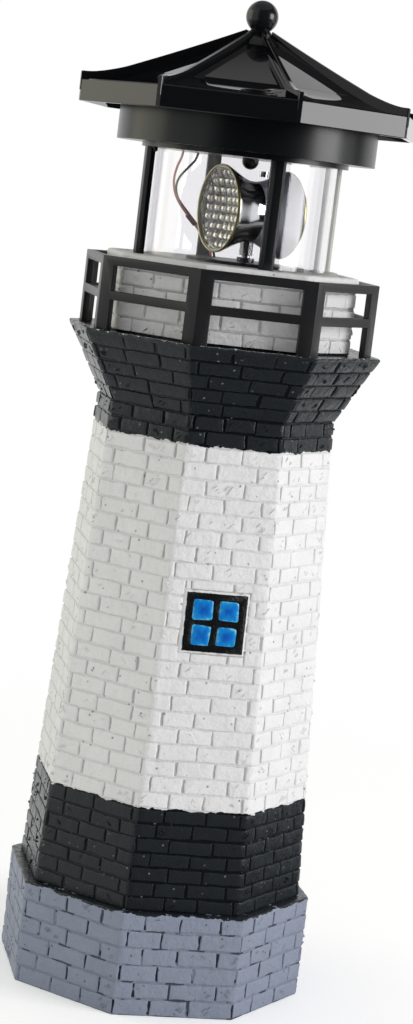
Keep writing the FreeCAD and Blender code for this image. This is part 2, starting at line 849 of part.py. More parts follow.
def motor():
    radius = "motor_shaft_radius + running_clearance"
    depth = f"motor_shaft_seat + {BEYOND}"
    can = cylinder("motor_radius", "motor_length", "0", "0", f"{BOARD_BOTTOM} - motor_length")
    bore = cylinder(radius, depth, "0", "0", f"{BOARD_BOTTOM} - motor_shaft_seat")
    return keep(moved(without(can, bore), f"beacon_x + {MOTOR_REACH}", "beacon_y"), "motor")


def battery():
    cell = cylinder("battery_radius", "battery_length", "0", "0", BATTERY_BOTTOM)
    nub = cylinder("battery_nub_radius", "battery_length + battery_nub", "0", "0", BATTERY_BOTTOM)
    return keep(moved(fused([cell, nub]), "beacon_x - battery_offset", "beacon_y"), "battery")


def battery_contacts():
    centre = ("beacon_x - battery_offset", "beacon_y")
    height = f"{BOARD_BOTTOM} - contact_thickness"
    plate = cylinder("contact_radius", "contact_thickness", *centre, height)
    keep(plate, "battery_contact")
    spring = cone("spring_radius", "battery_nub_radius", "spring_height", *centre, CAP_TOP)
    keep(spring, "battery_spring")


def slot(owner, height, depth, upward=False):
    """The opening along which the switch knob travels."""
    opening = sketch_on(owner, "XY_Plane", height)
    length = "knob_length + knob_travel + 2 * slide_clearance"
    rectangle(opening, "knob_width + 2 * slide_clearance", length, "switch_x")
    return pocket(owner, opening, depth, reverse=upward)


def bottom_cap():
    owner = body("bottom_cap")
    disc = sketch_on(owner, "XY_Plane", CAP_BOTTOM)
    circle(disc, "housing_cup_radius")
    pad(owner, disc, "cap_thickness")
    slot(owner, CAP_TOP, f"cap_thickness + {BEYOND}")
    screw = sketch_on(owner, "XY_Plane", CAP_TOP)
    circle(screw, "screw_radius + slide_clearance", "0", "screw_circle")
    around(owner, pocket(owner, screw, f"cap_thickness + {BEYOND}"), 2)
    head = sketch_on(owner, "XY_Plane", CAP_BOTTOM)
    circle(head, "screw_head + slide_clearance", "0", "screw_circle")
    around(owner, pocket(owner, head, "cap_thickness / 2", reverse=True), 2)
    place(owner, *BEACON_AXIS)
    return keep(owner, "bottom_cap")


def cap_screws():
    screws = []
    for side in (-1, 1):
        along = f"beacon_y + {side} * screw_circle"
        head = cylinder("screw_head", "cap_thickness / 2", "beacon_x", along, CAP_BOTTOM)
        shank = cylinder("screw_radius", "cap_thickness + screw_length", "beacon_x", along, CAP_BOTTOM)
        screws.append(fused([head, shank]))
    group = doc.addObject("Part::Compound", "screws")
    group.Links = screws
    return keep(group, "cap_screws")


def switch_body():
    owner = body("switch_body")
    block = sketch_on(owner, "XY_Plane", CAP_TOP)
    rectangle(block, "switch_width", "switch_length", "switch_x")
    pad(owner, block, "switch_height")
    slot(owner, CAP_TOP, "knob_proud", upward=True)
    place(owner, *BEACON_AXIS)
    return keep(owner, "switch_body")


def switch_knob():
    owner = body("switch_knob")
    tab = sketch_on(owner, "XY_Plane", f"{CAP_BOTTOM} - knob_proud")
    rectangle(tab, "knob_width", "knob_length", "switch_x", "-knob_travel / 2")
    pad(owner, tab, "knob_proud + cap_thickness + knob_proud - slide_clearance")
    place(owner, *BEACON_AXIS)
    return keep(owner, "switch_knob")


# ---- gears ----

PRESSURE_ANGLE = math.radians(25)
BACKLASH = 0.16
# Height of a tooth above and below the pitch circle, in modules.
ADDENDUM = 0.85
DEDENDUM = 1.15
FLANK_STEPS = 3


def involute(angle):
    return math.tan(angle) - angle


def gear_corners(teeth, tooth_at_zero):
    """Corners of a spur gear's outline, with the flanks as involutes."""
    module = value("gear_module")
    pitch = module * teeth / 2
    base = pitch * math.cos(PRESSURE_ANGLE)
    tip = pitch + ADDENDUM * module
    root = pitch - DEDENDUM * module
    flank_foot = max(base, root)
    half_tooth = (math.pi * module / 2 - BACKLASH) / 2 / pitch + involute(PRESSURE_ANGLE)
    flank_step = (tip - flank_foot) / FLANK_STEPS
    radii = [flank_foot + flank_step * step for step in range(FLANK_STEPS + 1)]
    flank = [(radius, half_tooth - involute(math.acos(base / radius))) for radius in radii]
    corners = []
    for tooth in range(teeth):
        middle = 2 * math.pi * (tooth + (0 if tooth_at_zero else 0.5)) / teeth
        rising = [(root, -half_tooth)] + [(radius, -angle) for radius, angle in flank]
        falling = [(radius, angle) for radius, angle in reversed(flank)] + [(root, half_tooth)]
        for radius, angle in rising + falling:
            turn = middle + angle
            corners.append(Vector(radius * math.cos(turn), radius * math.sin(turn), 0))
    return corners


def toothed(teeth, thickness, tooth_at_zero):
    """A solid spur gear standing on the ground plane."""
    corners = gear_corners(teeth, tooth_at_zero)
    wire = Part.makePolygon(corners + corners[:1])
    return Part.Face(wire).extrude(Vector(0, 0, thickness))


def spin_gear():
    blank = toothed(int(value("gear_teeth")), value("gear_thickness"), True)
    bore = Part.makeCylinder(value("shaft_radius"), value("gear_thickness"))
    gear = doc.addObject("Part::Feature", "gear")
    gear.Shape = blank.cut(bore)
    place(gear, *BEACON_AXIS, GEAR_BOTTOM)
    return keep(gear, "spin_gear")


def motor_pinion():
    blank = toothed(int(value("pinion_teeth")), value("gear_thickness"), False)
    depth = value(f"{GEAR_BOTTOM} - {BOARD_BOTTOM} + motor_shaft_seat")
    shaft = Part.makeCylinder(value("motor_shaft_radius"), depth + BEYOND, Vector(0, 0, -depth))
    pinion = doc.addObject("Part::Feature", "pinion")
    pinion.Shape = blank.fuse(shaft).removeSplitter()
    place(pinion, f"beacon_x + {MOTOR_REACH}", "beacon_y", GEAR_BOTTOM)
    return keep(pinion, "motor_pinion")


# ---- lamp and beacon ----

LAMP_HEIGHT = "(beacon_height - lamp_radius)"
WAIST_FLOOR = "(beacon_height - waist_radius + reflector_wall)"
BOWL_REACH = "(rim_reach - rim_depth - rim_step)"


def lamp():
    post = cylinder("lamp_post_radius", f"{LAMP_HEIGHT} - {BOARD_TOP}", *BEACON_AXIS, BOARD_TOP)
    keep(post, "led_post")
    barrel = cylinder("lamp_radius", "lamp_barrel", *BEACON_AXIS, LAMP_HEIGHT)
    dome = sphere("lamp_radius", *BEACON_AXIS, f"{LAMP_HEIGHT} + lamp_barrel")
    keep(fused([barrel, dome]), "led_lamp")


def beacon_shaft():
    low = f"{BOARD_TOP} + seat_clearance"
    high = f"{WAIST_FLOOR} + shaft_proud"
    corners = [("shaft_bore", low), ("shaft_radius", low), ("shaft_radius", high), ("shaft_bore", high)]
    turned_piece("beacon_shaft", corners, BEACON_AXIS)


def beacon_stem():
    corners = [
        ("shaft_radius", "stem_bottom"),
        ("stem_radius", "stem_bottom"),
        ("stem_radius", WAIST_FLOOR),
        ("shaft_radius", WAIST_FLOOR),
    ]
    turned_piece("beacon_stem", corners, BEACON_AXIS)


def beacon_piece(name, side, corners, shaft_hole=False):
    """A round piece on the beacon's level axis, from pairs of reach and radius on one side of the waist."""
    owner = body(name)
    sketch = sketch_on(owner, "XZ_Plane")
    outline(sketch, [(f"{side} * ({reach})", radius) for reach, radius in corners])
    turned(owner, sketch, "H_Axis")
    if shaft_hole:
        hole = sketch_on(owner, "XY_Plane")
        circle(hole, "stem_radius")
        pocket(owner, hole, f"waist_radius + {BEYOND}")
    place(owner, *BEACON_AXIS, "beacon_height", "beacon_turn")
    return keep(owner, name)


def beacon_head(name, side):
    seat = "rim_reach - lens_recess - lens_thickness"
    lens_radius = "rim_radius - reflector_wall"
    bowl = [
        ("0", "waist_radius"),
        (BOWL_REACH, "bowl_radius"),
        ("rim_reach - rim_depth", "rim_radius"),
        ("rim_reach", "rim_radius"),
        ("rim_reach", lens_radius),
        (seat, lens_radius),
        (seat, f"{lens_radius} - lens_ledge"),
        (BOWL_REACH, "bowl_radius - reflector_wall"),
        ("0", "waist_radius - reflector_wall"),
    ]
    beacon_piece(f"reflector_{name}", side, bowl, shaft_hole=True)
    front = f"{seat} + lens_thickness"
    edge = f"{lens_radius} - slide_clearance"
    beacon_piece(f"lens_{name}", side, [(seat, "0"), (front, "0"), (front, edge), (seat, edge)])
    outer = "rim_radius + bezel_overhang"
    inner = "rim_radius - bezel_width"
    face = "rim_reach + bezel_thickness"
    bezel = [("rim_reach", inner), (face, inner), (face, outer), ("rim_reach", outer)]
    beacon_piece(f"bezel_{name}", side, bezel)


def reflector_clip():
    across = "beacon_x + clip_offset * cos(beacon_turn)"
    along = "beacon_y + clip_offset * sin(beacon_turn)"
    slope = f"(bowl_radius - waist_radius) / {BOWL_REACH}"
    foot = f"beacon_height + waist_radius + (clip_offset + clip_radius) * {slope}"
    stub = cylinder("clip_radius", "clip_height", across, along, foot)
    return keep(stub, "reflector_clip")


# ---- leads ----

# Share of a run that the arc at each of its ends takes up.
ARC_SHARE = 0.45


def route_points(route):
    width = value("tube_radius")
    low = value("deck_height")
    rise = value("ceiling_height") - low
    return [Vector(across * width, along * width, low + share * rise) for across, along, share in route]


def cord_tube(points, radius):
    """A tube along straight runs joined by tangent arcs."""
    edges = []
    start = points[0]
    arcs = []
    for before, corner, after in zip(points, points[1:], points[2:]):
        back = (before - corner).normalize()
        ahead = (after - corner).normalize()
        reach = ARC_SHARE * min((before - corner).Length, (after - corner).Length)
        half_turn = (math.pi - back.getAngle(ahead)) / 2
        arcs.append(reach / math.tan(half_turn))
        enter = corner + back * reach
        leave = corner + ahead * reach
        bisector = (back + ahead).normalize()
        middle = corner + bisector * (arcs[-1] / math.cos(half_turn) - arcs[-1])
        edges.append(Part.LineSegment(start, enter).toShape())
        edges.append(Part.Arc(enter, middle, leave).toShape())
        start = leave
    edges.append(Part.LineSegment(start, points[-1]).toShape())
    spine = Part.Wire(edges)
    section = Part.Wire(Part.makeCircle(radius, points[0], points[1] - points[0]))
    tube = spine.makePipeShell([section], True, True)
    share = tube.Volume / (math.pi * radius ** 2 * spine.Length)
    print(f"length {spine.Length:.1f}, arcs {[round(arc, 1) for arc in arcs]}, volume share {share:.4f}")
    return tube


def lead(name, route):
    wire = doc.addObject("Part::Feature", name)
    wire.Shape = cord_tube(route_points(route), value("wire_radius"))
    return keep(wire, name)


def splice_sleeve():
    """The shrink sleeve on the longest run of the red lead, between the arcs at its ends."""
    points = route_points(RED_ROUTE)
    runs = list(zip(points, points[1:], points[2:], points[3:]))
    before, start, end, after = max(runs, key=lambda run: (run[2] - run[1]).Length)
    run = (end - start).normalize()
    low = start + run * ARC_SHARE * (before - start).Length
    high = end - run * ARC_SHARE * (after - end).Length
    length = (high - low).Length
    outer = Part.makeCylinder(value("sleeve_radius"), length, low, run)
    sleeve = doc.addObject("Part::Feature", "sleeve")
    sleeve.Shape = outer.cut(Part.makeCylinder(value("wire_radius"), length, low, run))
    return keep(sleeve, "splice_sleeve")


def build():
    tower_casting()
    window_frame()
    window_glazing()
    gallery_railing()
    lantern_floor()
    for number in range(1, POSTS + 1):
        cage_post(number)
    clear_tube()
    upper_collar()
    ceiling_boss()
    roof_housing()
    roof_shell()
    for number in range(1, SIDES + 1):
        solar_cell(number)
    finial_ball()
    drive_lid()
    shaft_bush()
    drive_housing()
    circuit_board()
    motor()
    motor_pinion()
    battery()
    battery_contacts()
    bottom_cap()
    cap_screws()
    switch_body()
    switch_knob()
    lamp()
    beacon_shaft()
    beacon_stem()
    spin_gear()
    for name, side in (("left", -1), ("right", 1)):
        beacon_head(name, side)
    reflector_clip()
    lead("red_wire", RED_ROUTE)
    lead("black_wire", BLACK_ROUTE)
    splice_sleeve()


def check():
    doc.recompute()
    faults = [item.Name for item in doc.Objects if {"Invalid", "Error"} & set(item.State)]
    for piece in PARTS:
        if piece.Shape.isNull() or not piece.Shape.isValid():
            faults.append(piece.Label)
    if faults:
        raise RuntimeError("failed: " + ", ".join(faults))


def export():
    os.makedirs("parts", exist_ok=True)
    for piece in PARTS:
        piece.Shape.exportStep(f"parts/{piece.Label}.step")
        box = piece.Shape.BoundBox
        count = len(piece.Shape.Solids)
        volume = piece.Shape.Volume
        print(f"{piece.Label}: {count} solid, {volume:.0f} mm3, z {box.ZMin:.1f} to {box.ZMax:.1f}")


build()
check()
export()
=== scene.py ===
import math
import random

import bpy
from mathutils import Matrix, Vector, noise


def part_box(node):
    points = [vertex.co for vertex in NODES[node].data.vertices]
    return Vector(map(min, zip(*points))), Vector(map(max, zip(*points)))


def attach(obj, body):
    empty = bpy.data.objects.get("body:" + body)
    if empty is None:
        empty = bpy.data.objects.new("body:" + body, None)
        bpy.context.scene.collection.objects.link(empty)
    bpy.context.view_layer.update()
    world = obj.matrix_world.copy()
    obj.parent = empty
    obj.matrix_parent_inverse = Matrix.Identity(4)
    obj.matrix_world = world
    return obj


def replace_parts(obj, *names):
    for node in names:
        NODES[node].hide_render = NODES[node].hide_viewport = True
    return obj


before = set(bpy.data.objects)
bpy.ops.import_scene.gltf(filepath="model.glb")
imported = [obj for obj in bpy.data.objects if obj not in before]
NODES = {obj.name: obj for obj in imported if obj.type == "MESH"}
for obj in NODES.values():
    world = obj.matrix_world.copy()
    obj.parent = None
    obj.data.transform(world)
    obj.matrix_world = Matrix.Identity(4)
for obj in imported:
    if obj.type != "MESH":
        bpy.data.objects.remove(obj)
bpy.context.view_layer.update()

MM = 0.001

# ---- sizes, in millimetres ----

SIDES = 8
HALF_SIDE = math.pi / SIDES
COS_HALF = math.cos(HALF_SIDE)
TAN_HALF = math.tan(HALF_SIDE)

PLINTH_TOP = 37.3
SHAFT_TOP = 213.9
FLOOR = 238.3
DECK = 266.0
FASCIA_BOTTOM = 316.8
FASCIA_TOP = 324.5
ROOF_TOP = 345.6
LOW_PAINT_LINE = 74.2
HIGH_PAINT_LINE = 203.4

PLINTH_RADIUS = 57.0
SHAFT_FOOT_RADIUS = 53.1
SHAFT_TOP_RADIUS = 43.6
LIP_RADIUS = 57.8
DRUM_RADIUS = 46.0
LOW_RADIUS = 51.115  # of the shaft at the low paint line
HIGH_RADIUS = 44.165  # and at the high one

BEACON_X = 4.4
BEACON_Y = -0.9
BEACON_Z = 285.2
BEACON_TURN = math.radians(16.6)
ROOF_TURN = math.radians(-19.4)


# ---- mesh pieces ----

def add_object(name, data):
    """An object in the scene."""
    added = bpy.data.objects.new(name, data)
    bpy.context.scene.collection.objects.link(added)
    return added


def add_piece(name, shape, body, material, sharp=None):
    """A mesh from a shape in millimetres that rides on a body. Edges over the sharp angle stay sharp."""
    mesh = bpy.data.meshes.new(name)
    mesh.from_pydata([Vector(point) * MM for point in shape.points], [], shape.faces)
    mesh.validate()
    mesh.shade_smooth()
    if sharp is not None:
        mesh.set_sharp_from_angle(angle=math.radians(sharp))
    piece = add_object(name, mesh)
    mesh.materials.append(material)
    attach(piece, body)
    return piece


class Shape:
    """Points and faces gathered for one piece."""

    def __init__(self):
        self.points = []
        self.faces = []

    def grid(self, rows, close_rows=False, close_columns=False):
        """Joins rows of points into quads."""
        first = len(self.points)
        width = len(rows[0])
        for row in rows:
            self.points.extend(row)
        row_count = len(rows) if close_rows else len(rows) - 1
        column_count = width if close_columns else width - 1
        for row in range(row_count):
            low = first + row * width
            high = first + (row + 1) % len(rows) * width
            for column in range(column_count):
                beside = (column + 1) % width
                self.faces.append((low + column, low + beside, high + beside, high + column))


def closed_shape(rows):
    """A shape from rows of points that each close on themselves."""
    shape = Shape()
    shape.grid(rows, close_columns=True)
    return shape


def point_values(piece, name, values):
    """A number on each point of a piece, for its material to read."""
    piece.data.attributes.new(name, "FLOAT", "POINT").data.foreach_set("value", values)


def turned(along, aside, angle):
    """A level place, given along an angle and to its side."""
    return (
        along * math.cos(angle) - aside * math.sin(angle),
        along * math.sin(angle) + aside * math.cos(angle),
    )


def circle(steps):
    """The cosine and sine of evenly spaced turns."""
    turns = [2 * math.pi * step / steps for step in range(steps)]
    return [(math.cos(turn), math.sin(turn)) for turn in turns]


def auto_smooth(node):
    """Smooth shading on a carried-over node, apart from its sharp edges."""
    mesh = NODES[node].data
    mesh.shade_smooth()
    mesh.set_sharp_from_angle(angle=math.radians(32))


def soften(node, width):
    """Rounds the sharp edges of a carried-over node."""
    piece = NODES[node]
    weld = piece.modifiers.new("weld", "WELD")
    weld.merge_threshold = 0.00002
    dissolve = piece.modifiers.new("dissolve", "DECIMATE")
    dissolve.decimate_type = "DISSOLVE"
    dissolve.angle_limit = math.radians(1.5)
    bevel = piece.modifiers.new("bevel", "BEVEL")
    bevel.width = width * MM
    bevel.segments = 2
    bevel.limit_method = "ANGLE"
    bevel.angle_limit = math.radians(28)
    bevel.harden_normals = True
    bevel.use_clamp_overlap = True
    auto_smooth(node)


# ---- materials ----

def linear(red, green, blue):
    """A colour given as it looks on the screen, 0 to 255."""
    def channel(value):
        share = value / 255
        return share / 12.92 if share <= 0.04045 else ((share + 0.055) / 1.055) ** 2.4
    return channel(red), channel(green), channel(blue), 1.0


class Nodes:
    """A node tree with short names for the nodes used here."""

    def __init__(self, tree):
        self.tree = tree

    def node(self, kind, **settings):
        made = self.tree.nodes.new(kind)
        for setting, value in settings.items():
            setattr(made, setting, value)
        return made

    def link(self, source, target):
        self.tree.links.new(source, target)

    def math(self, operation, *values):
        made = self.node("ShaderNodeMath", operation=operation)
        for socket, value in zip(made.inputs, values):
            if isinstance(value, (int, float)):
                socket.default_value = value
            else:
                self.link(value, socket)
        return made.outputs[0]

    def times(self, *values):
        return self.math("MULTIPLY", *values)

    def most(self, first, *others):
        for value in others:
            first = self.math("MAXIMUM", first, value)
        return first

    def over(self, value, limit):
        """1 where the value is over the limit and 0 elsewhere."""
        return self.math("GREATER_THAN", value, limit)

    def rest(self, share):
        """What a share leaves of 1."""
        return self.math("SUBTRACT", 1.0, share)

    def between(self, factor, low, high):
        """The factor stretched to run from low to high."""
        made = self.node("ShaderNodeMapRange")
        made.inputs["To Min"].default_value = low
        made.inputs["To Max"].default_value = high
        self.link(factor, made.inputs["Value"])
        return made.outputs[0]

    def step(self, factor, start, end):
        """0 at start and 1 at end, held beyond them."""
        made = self.node("ShaderNodeMapRange", interpolation_type="SMOOTHSTEP")
        made.inputs["From Min"].default_value = start
        made.inputs["From Max"].default_value = end
        self.link(factor, made.inputs["Value"])
        return made.outputs[0]

    def vector(self, operation, first, second=(0, 0, 0)):
        """The outputs of a vector operation whose second input, if it has one, is constant."""
        made = self.node("ShaderNodeVectorMath", operation=operation)
        made.inputs[1].default_value = second
        self.link(first, made.inputs[0])
        return made.outputs

    def length(self, place):
        return self.vector("LENGTH", place)["Value"]

    def height(self, place):
        made = self.node("ShaderNodeSeparateXYZ")
        self.link(place, made.inputs[0])
        return made.outputs["Z"]

    def flat(self, place):
        """The place without its height."""
        return self.vector("MULTIPLY", place, (1, 1, 0))[0]

    def bearing(self, place):
        """The level direction of a place, one long."""
        return self.vector("NORMALIZE", self.flat(place))[0]

    def towards(self, bearing, azimuth):
        """How far a bearing points to an azimuth, 1 straight at it."""
        return self.vector("DOT_PRODUCT", bearing, (math.cos(azimuth), math.sin(azimuth), 0))["Value"]


class Material(Nodes):
    """A node material with one principled shader."""

    def __init__(self, name, **sockets):
        self.material = bpy.data.materials.new(name)
        self.material.use_nodes = True
        super().__init__(self.material.node_tree)
        self.shader = self.tree.nodes["Principled BSDF"]
        for socket, value in sockets.items():
            self.shader.inputs[socket.replace("_", " ")].default_value = value
        self.place = self.node("ShaderNodeTexCoord").outputs["Object"]

    def noise(self, size, detail=3.0, roughness=0.55, stretch=(1, 1, 1)):
        """Soft noise from 0 to 1 whose features are about so many millimetres across."""
        mapping = self.node("ShaderNodeMapping")
        mapping.inputs["Scale"].default_value = stretch
        self.link(self.place, mapping.inputs["Vector"])
        made = self.node("ShaderNodeTexNoise")
        made.inputs["Scale"].default_value = 1 / (size * MM)
        made.inputs["Detail"].default_value = detail
        made.inputs["Roughness"].default_value = roughness
        self.link(mapping.outputs[0], made.inputs["Vector"])
        return made.outputs["Fac"]

    def waver(self, size, height):
        """Noise to both sides of 0, so many millimetres from its lowest to its highest."""
        return self.times(self.math("SUBTRACT", self.noise(size, detail=2), 0.5), height * MM)

    def cells(self, size):
        """Distance from the nearest of many scattered points, as a share of their spacing."""
        made = self.node("ShaderNodeTexVoronoi")
        made.inputs["Scale"].default_value = 1 / (size * MM)
        self.link(self.place, made.inputs["Vector"])
        return made.outputs["Distance"]

    def blend(self, factor, first, second, mode="MIX"):
        made = self.node("ShaderNodeMix", data_type="RGBA", blend_type=mode)
        for socket, value in zip((made.inputs[0], made.inputs[6], made.inputs[7]), (factor, first, second)):
            if isinstance(value, (int, float, tuple)):
                socket.default_value = value
            else:
                self.link(value, socket)
        return made.outputs[2]

    def colour(self, output):
        self.link(output, self.shader.inputs["Base Color"])

    def roughness(self, output):
        self.link(output, self.shader.inputs["Roughness"])

    def bump(self, height, distance):
        """Raises the surface by a height output, so many millimetres at most."""
        made = self.node("ShaderNodeBump")
        made.inputs["Distance"].default_value = distance * MM
        self.link(height, made.inputs["Height"])
        if self.shader.inputs["Normal"].is_linked:
            self.link(self.shader.inputs["Normal"].links[0].from_socket, made.inputs["Normal"])
        self.link(made.outputs[0], self.shader.inputs["Normal"])


def scaled(colour, amount):
    """The colour made lighter or darker."""
    return tuple(min(1.0, channel * amount) for channel in colour[:3]) + (1.0,)


def plain_finish(name, colour, roughness, spread=0.12, grain=2.0, bump=0.02, **sockets):
    """A moulded or metal surface with slight changes of tone, gloss and level."""
    made = Material(name, **sockets)
    mottling = made.noise(grain * 4)
    made.colour(made.blend(mottling, scaled(colour, 1 - spread), scaled(colour, 1 + spread)))
    made.roughness(made.between(made.noise(grain * 2), roughness * 0.8, roughness * 1.25))
    made.bump(made.noise(grain, detail=4), bump)
    return made.material


GREY_PAINT = linear(144, 152, 170)
BLACK_PAINT = linear(36, 41, 45)
WHITE_PAINT = linear(238, 238, 238)
CHARCOAL = linear(44, 46, 58)
SPECK_ON_PALE = linear(74, 70, 66)
SPECK_ON_BLACK = linear(150, 150, 146)
PALE_DEEPENING = 0.08
BLACK_DEEPENING = 0.6
# How dark the painted shade in the white band's upright joints is: the side shadow that the lights cast in
# them.
UPRIGHT_JOINT_SHADE = 0.6
PLINTH_COURSES = 6
WHITE_COURSES = 22
PLINTH_PAINT_LINE = 36.9
FLOOR_PAINT_LINE = FLOOR + 0.9
LIP_FLECK_LINE = FLOOR + 0.7
LIP_INNER_RADIUS = 49


def tower_paint(name, depth):
    """The tower's paint. Depth, 0 to 1, says how far it lies in the joints."""
    made = Material(name, Specular_IOR_Level=0.34)
    height = made.height(made.place)
    level = made.math("ADD", height, made.waver(7, 3.4))
    level = made.math("ADD", level, made.waver(1.4, 1.3))

    def between_beds(start, course):
        """1 in the upright joints and 0 in the level ones, for courses that rise from a start."""
        rise = made.math("DIVIDE", made.math("SUBTRACT", height, start * MM), course * MM)
        share = made.math("FRACT", rise)
        return made.step(made.math("MINIMUM", share, made.rest(share)), 0.05, 0.14)

    upright = between_beds(0, PLINTH_TOP / PLINTH_COURSES)
    patchy = made.step(made.noise(6, detail=2), 0.42, 0.5)
    thin = made.step(made.noise(8, detail=1), 0.56, 0.6)
    stained = made.most(made.times(upright, patchy), made.times(thin, 0.8))
    grey = made.blend(made.times(stained, depth), scaled(GREY_PAINT, 1 - PALE_DEEPENING * depth), CHARCOAL)
    black = scaled(BLACK_PAINT, 1 - BLACK_DEEPENING * depth)
    white_course = (HIGH_PAINT_LINE - LOW_PAINT_LINE) / WHITE_COURSES
    # Painted shade: the white band's upright joints are darkened where the side lights leave them in shadow.
    upright_shade = made.times(between_beds(LOW_PAINT_LINE, white_course), depth)
    plain_white = scaled(WHITE_PAINT, 1 - PALE_DEEPENING * depth)
    white = made.blend(upright_shade, plain_white, scaled(WHITE_PAINT, UPRIGHT_JOINT_SHADE))
    above_plinth, above_low_line, above_high_line = (
        made.over(level, line * MM) for line in (PLINTH_PAINT_LINE, LOW_PAINT_LINE, HIGH_PAINT_LINE)
    )
    above_floor = made.over(height, FLOOR_PAINT_LINE * MM)
    outside = made.over(made.length(made.flat(made.place)), LIP_INNER_RADIUS * MM)
    flecked = made.over(made.math("ADD", height, made.waver(1.3, 3.6)), LIP_FLECK_LINE * MM)
    above_lip = made.most(above_floor, made.times(made.times(outside, flecked), 0.8))
    tone = made.blend(above_plinth, grey, black)
    for above, paint in ((above_low_line, white), (above_high_line, black), (above_lip, white)):
        tone = made.blend(above, tone, paint)
    clouds = made.between(made.noise(12, detail=4), 0.9, 1.07)
    brushed = made.between(made.noise(1.6, detail=4, stretch=(1, 1, 3.5)), 0.94, 1.05)
    worn = made.blend(1.0, tone, made.times(clouds, brushed), "MULTIPLY")
    pits = made.step(made.cells(3.1), 0.16, 0.09)
    pits = made.times(pits, made.step(made.noise(5, detail=1), 0.5, 0.62))
    off_white = made.math("ADD", above_high_line, made.rest(above_low_line))
    painted_black = made.times(made.times(above_plinth, made.rest(above_lip)), off_white)
    speck = made.blend(painted_black, SPECK_ON_PALE, SPECK_ON_BLACK)
    made.colour(made.blend(made.times(pits, 0.6), worn, speck))
    gloss = made.between(made.noise(2.5), 0.38, 0.58)
    made.roughness(made.math("SUBTRACT", gloss, made.times(painted_black, 0.2)))
    calm = made.between(painted_black, 0.8, 0.4)
    made.bump(made.times(made.noise(0.9, detail=5, roughness=0.65), calm), 0.3)
    made.bump(made.times(made.noise(3.0, detail=2), calm), 0.7)
    made.bump(made.rest(pits), 0.3)
    return made.material


BRICK_PAINT = tower_paint("brick_paint", 0.0)
JOINT_PAINT = tower_paint("joint_paint", 1.0)


# ---- brickwork ----

class Wall:
    """One band of the tower's eight flat faces, with its courses of bricks."""

    def __init__(self, name, low, high, low_radius, high_radius, courses, brick_length, relief=0.5):
        self.name = name
        self.relief = relief
        self.low = low
        self.rise = (high - low) / courses
        self.courses = courses
        self.brick_length = brick_length
        self.low_radius = low_radius
        self.slope = (high_radius - low_radius) / (high - low)
        tangent = Vector((self.slope * COS_HALF, 1)).normalized()
        self.outward = tangent.y
        self.upward = -tangent.x

    def radius(self, height):
        return self.low_radius + self.slope * (height - self.low)

    def side(self, height):
        return 2 * self.radius(height) * math.sin(HALF_SIDE)

    def point(self, around, height, proud):
        """A point so many sides round the tower, standing proud of the wall."""
        facet = math.floor(around)
        across = around - facet - 0.5
        reach = self.radius(height) * COS_HALF + proud * self.outward
        place = turned(reach, across * 2 * reach * TAN_HALF, facet * 2 * HALF_SIDE)
        return (*place, height + proud * self.upward)


WALLS = [
    Wall("plinth", 0.0, PLINTH_TOP, PLINTH_RADIUS, PLINTH_RADIUS, PLINTH_COURSES, 14.6, 0.38),
    Wall("low_band", PLINTH_TOP, LOW_PAINT_LINE, SHAFT_FOOT_RADIUS, LOW_RADIUS, 7, 13.4),
    Wall("white_band", LOW_PAINT_LINE, HIGH_PAINT_LINE, LOW_RADIUS, HIGH_RADIUS, WHITE_COURSES, 13.4, 0.46),
    Wall("neck_band", HIGH_PAINT_LINE, SHAFT_TOP, HIGH_RADIUS, SHAFT_TOP_RADIUS, 2, 12.4, 0.75),
    Wall("flare", SHAFT_TOP, FLOOR, SHAFT_TOP_RADIUS, LIP_RADIUS, 5, 14.2),
    Wall("drum", FLOOR, DECK, DRUM_RADIUS, DRUM_RADIUS, 5, 14.0),
]
JOINT_WIDTH = 0.5
EDGE_STEPS = ((0.0, -0.25), (0.07, 0.6), (0.22, 0.9), (0.5, 1.0))
COLUMN_SPACING = 1.9
ROW_SPACING = 1.5
BRICK_LIFT = 0.28
BRICK_LEAN = 0.12
COURSE_SHIFT = 0.12
JOINT_SHIFT = 0.13
BRICK_INSET = (-0.1, 0.24)
SMALLEST_BRICK = (1.6, 1.2)
CORNER_ROUND = 0.45
CORNER_CLEAR = 0.75
NICK_MARGIN = 1.2
NICK_SPACING = 0.85
EDGE_SPACING = 1.3
EDGE_LUMP = 0.36
EDGE_GRAIN = 0.12
EDGES = [
    ("lip_edge", LIP_RADIUS, FLOOR, [
        (-1.3, -1.6, 0), (0.0, -0.8, 0.6), (0.3, -0.2, 1), (0.05, 0.35, 1), (-1.2, 0.5, 0.8),
        (-3.2, 0.2, 0.3), (-5.0, -0.3, 0),
    ]),
    ("ledge_edge", PLINTH_RADIUS, PLINTH_TOP, [
        (-0.3, -1.5, 0), (0.35, -0.9, 0.3), (0.4, -0.35, 0.5), (0.1, 0.15, 0.5), (-1.0, 0.3, 0.4),
        (-4.2, 0.1, 0.2), (-5.5, -0.4, 0),
    ]),
    ("deck_edge", DRUM_RADIUS, DECK, [
        (0.1, -3.4, 0), (0.66, -2.8, 0.2), (0.74, -1.4, 0.3), (0.6, -0.5, 0.3), (0.1, 0.0, 0.25),
        (-0.9, 0.14, 0.2), (-4.6, 0.1, 0.1), (-5.2, -0.4, 0),
    ]),
]
WINDOW_FACET = 6
WINDOW_CENTRE = 141.8
WINDOW_HALF_WIDTH = 11.0
WINDOW_HALF_HEIGHT = 10.5
WINDOW_MARGIN = 0.95
SURROUND_PROFILE = [(1.3, -0.1), (1.05, 0.3), (0.6, 0.6), (0.2, 0.78), (-0.2, 0.8), (-0.3, 0.3)]
PANE_ASIDE = 4.65
PANE_ABOVE = 4.6
PANE_PROUD = 0.72
PANE_CROWN = 0.5
PANE_RINGS = 9


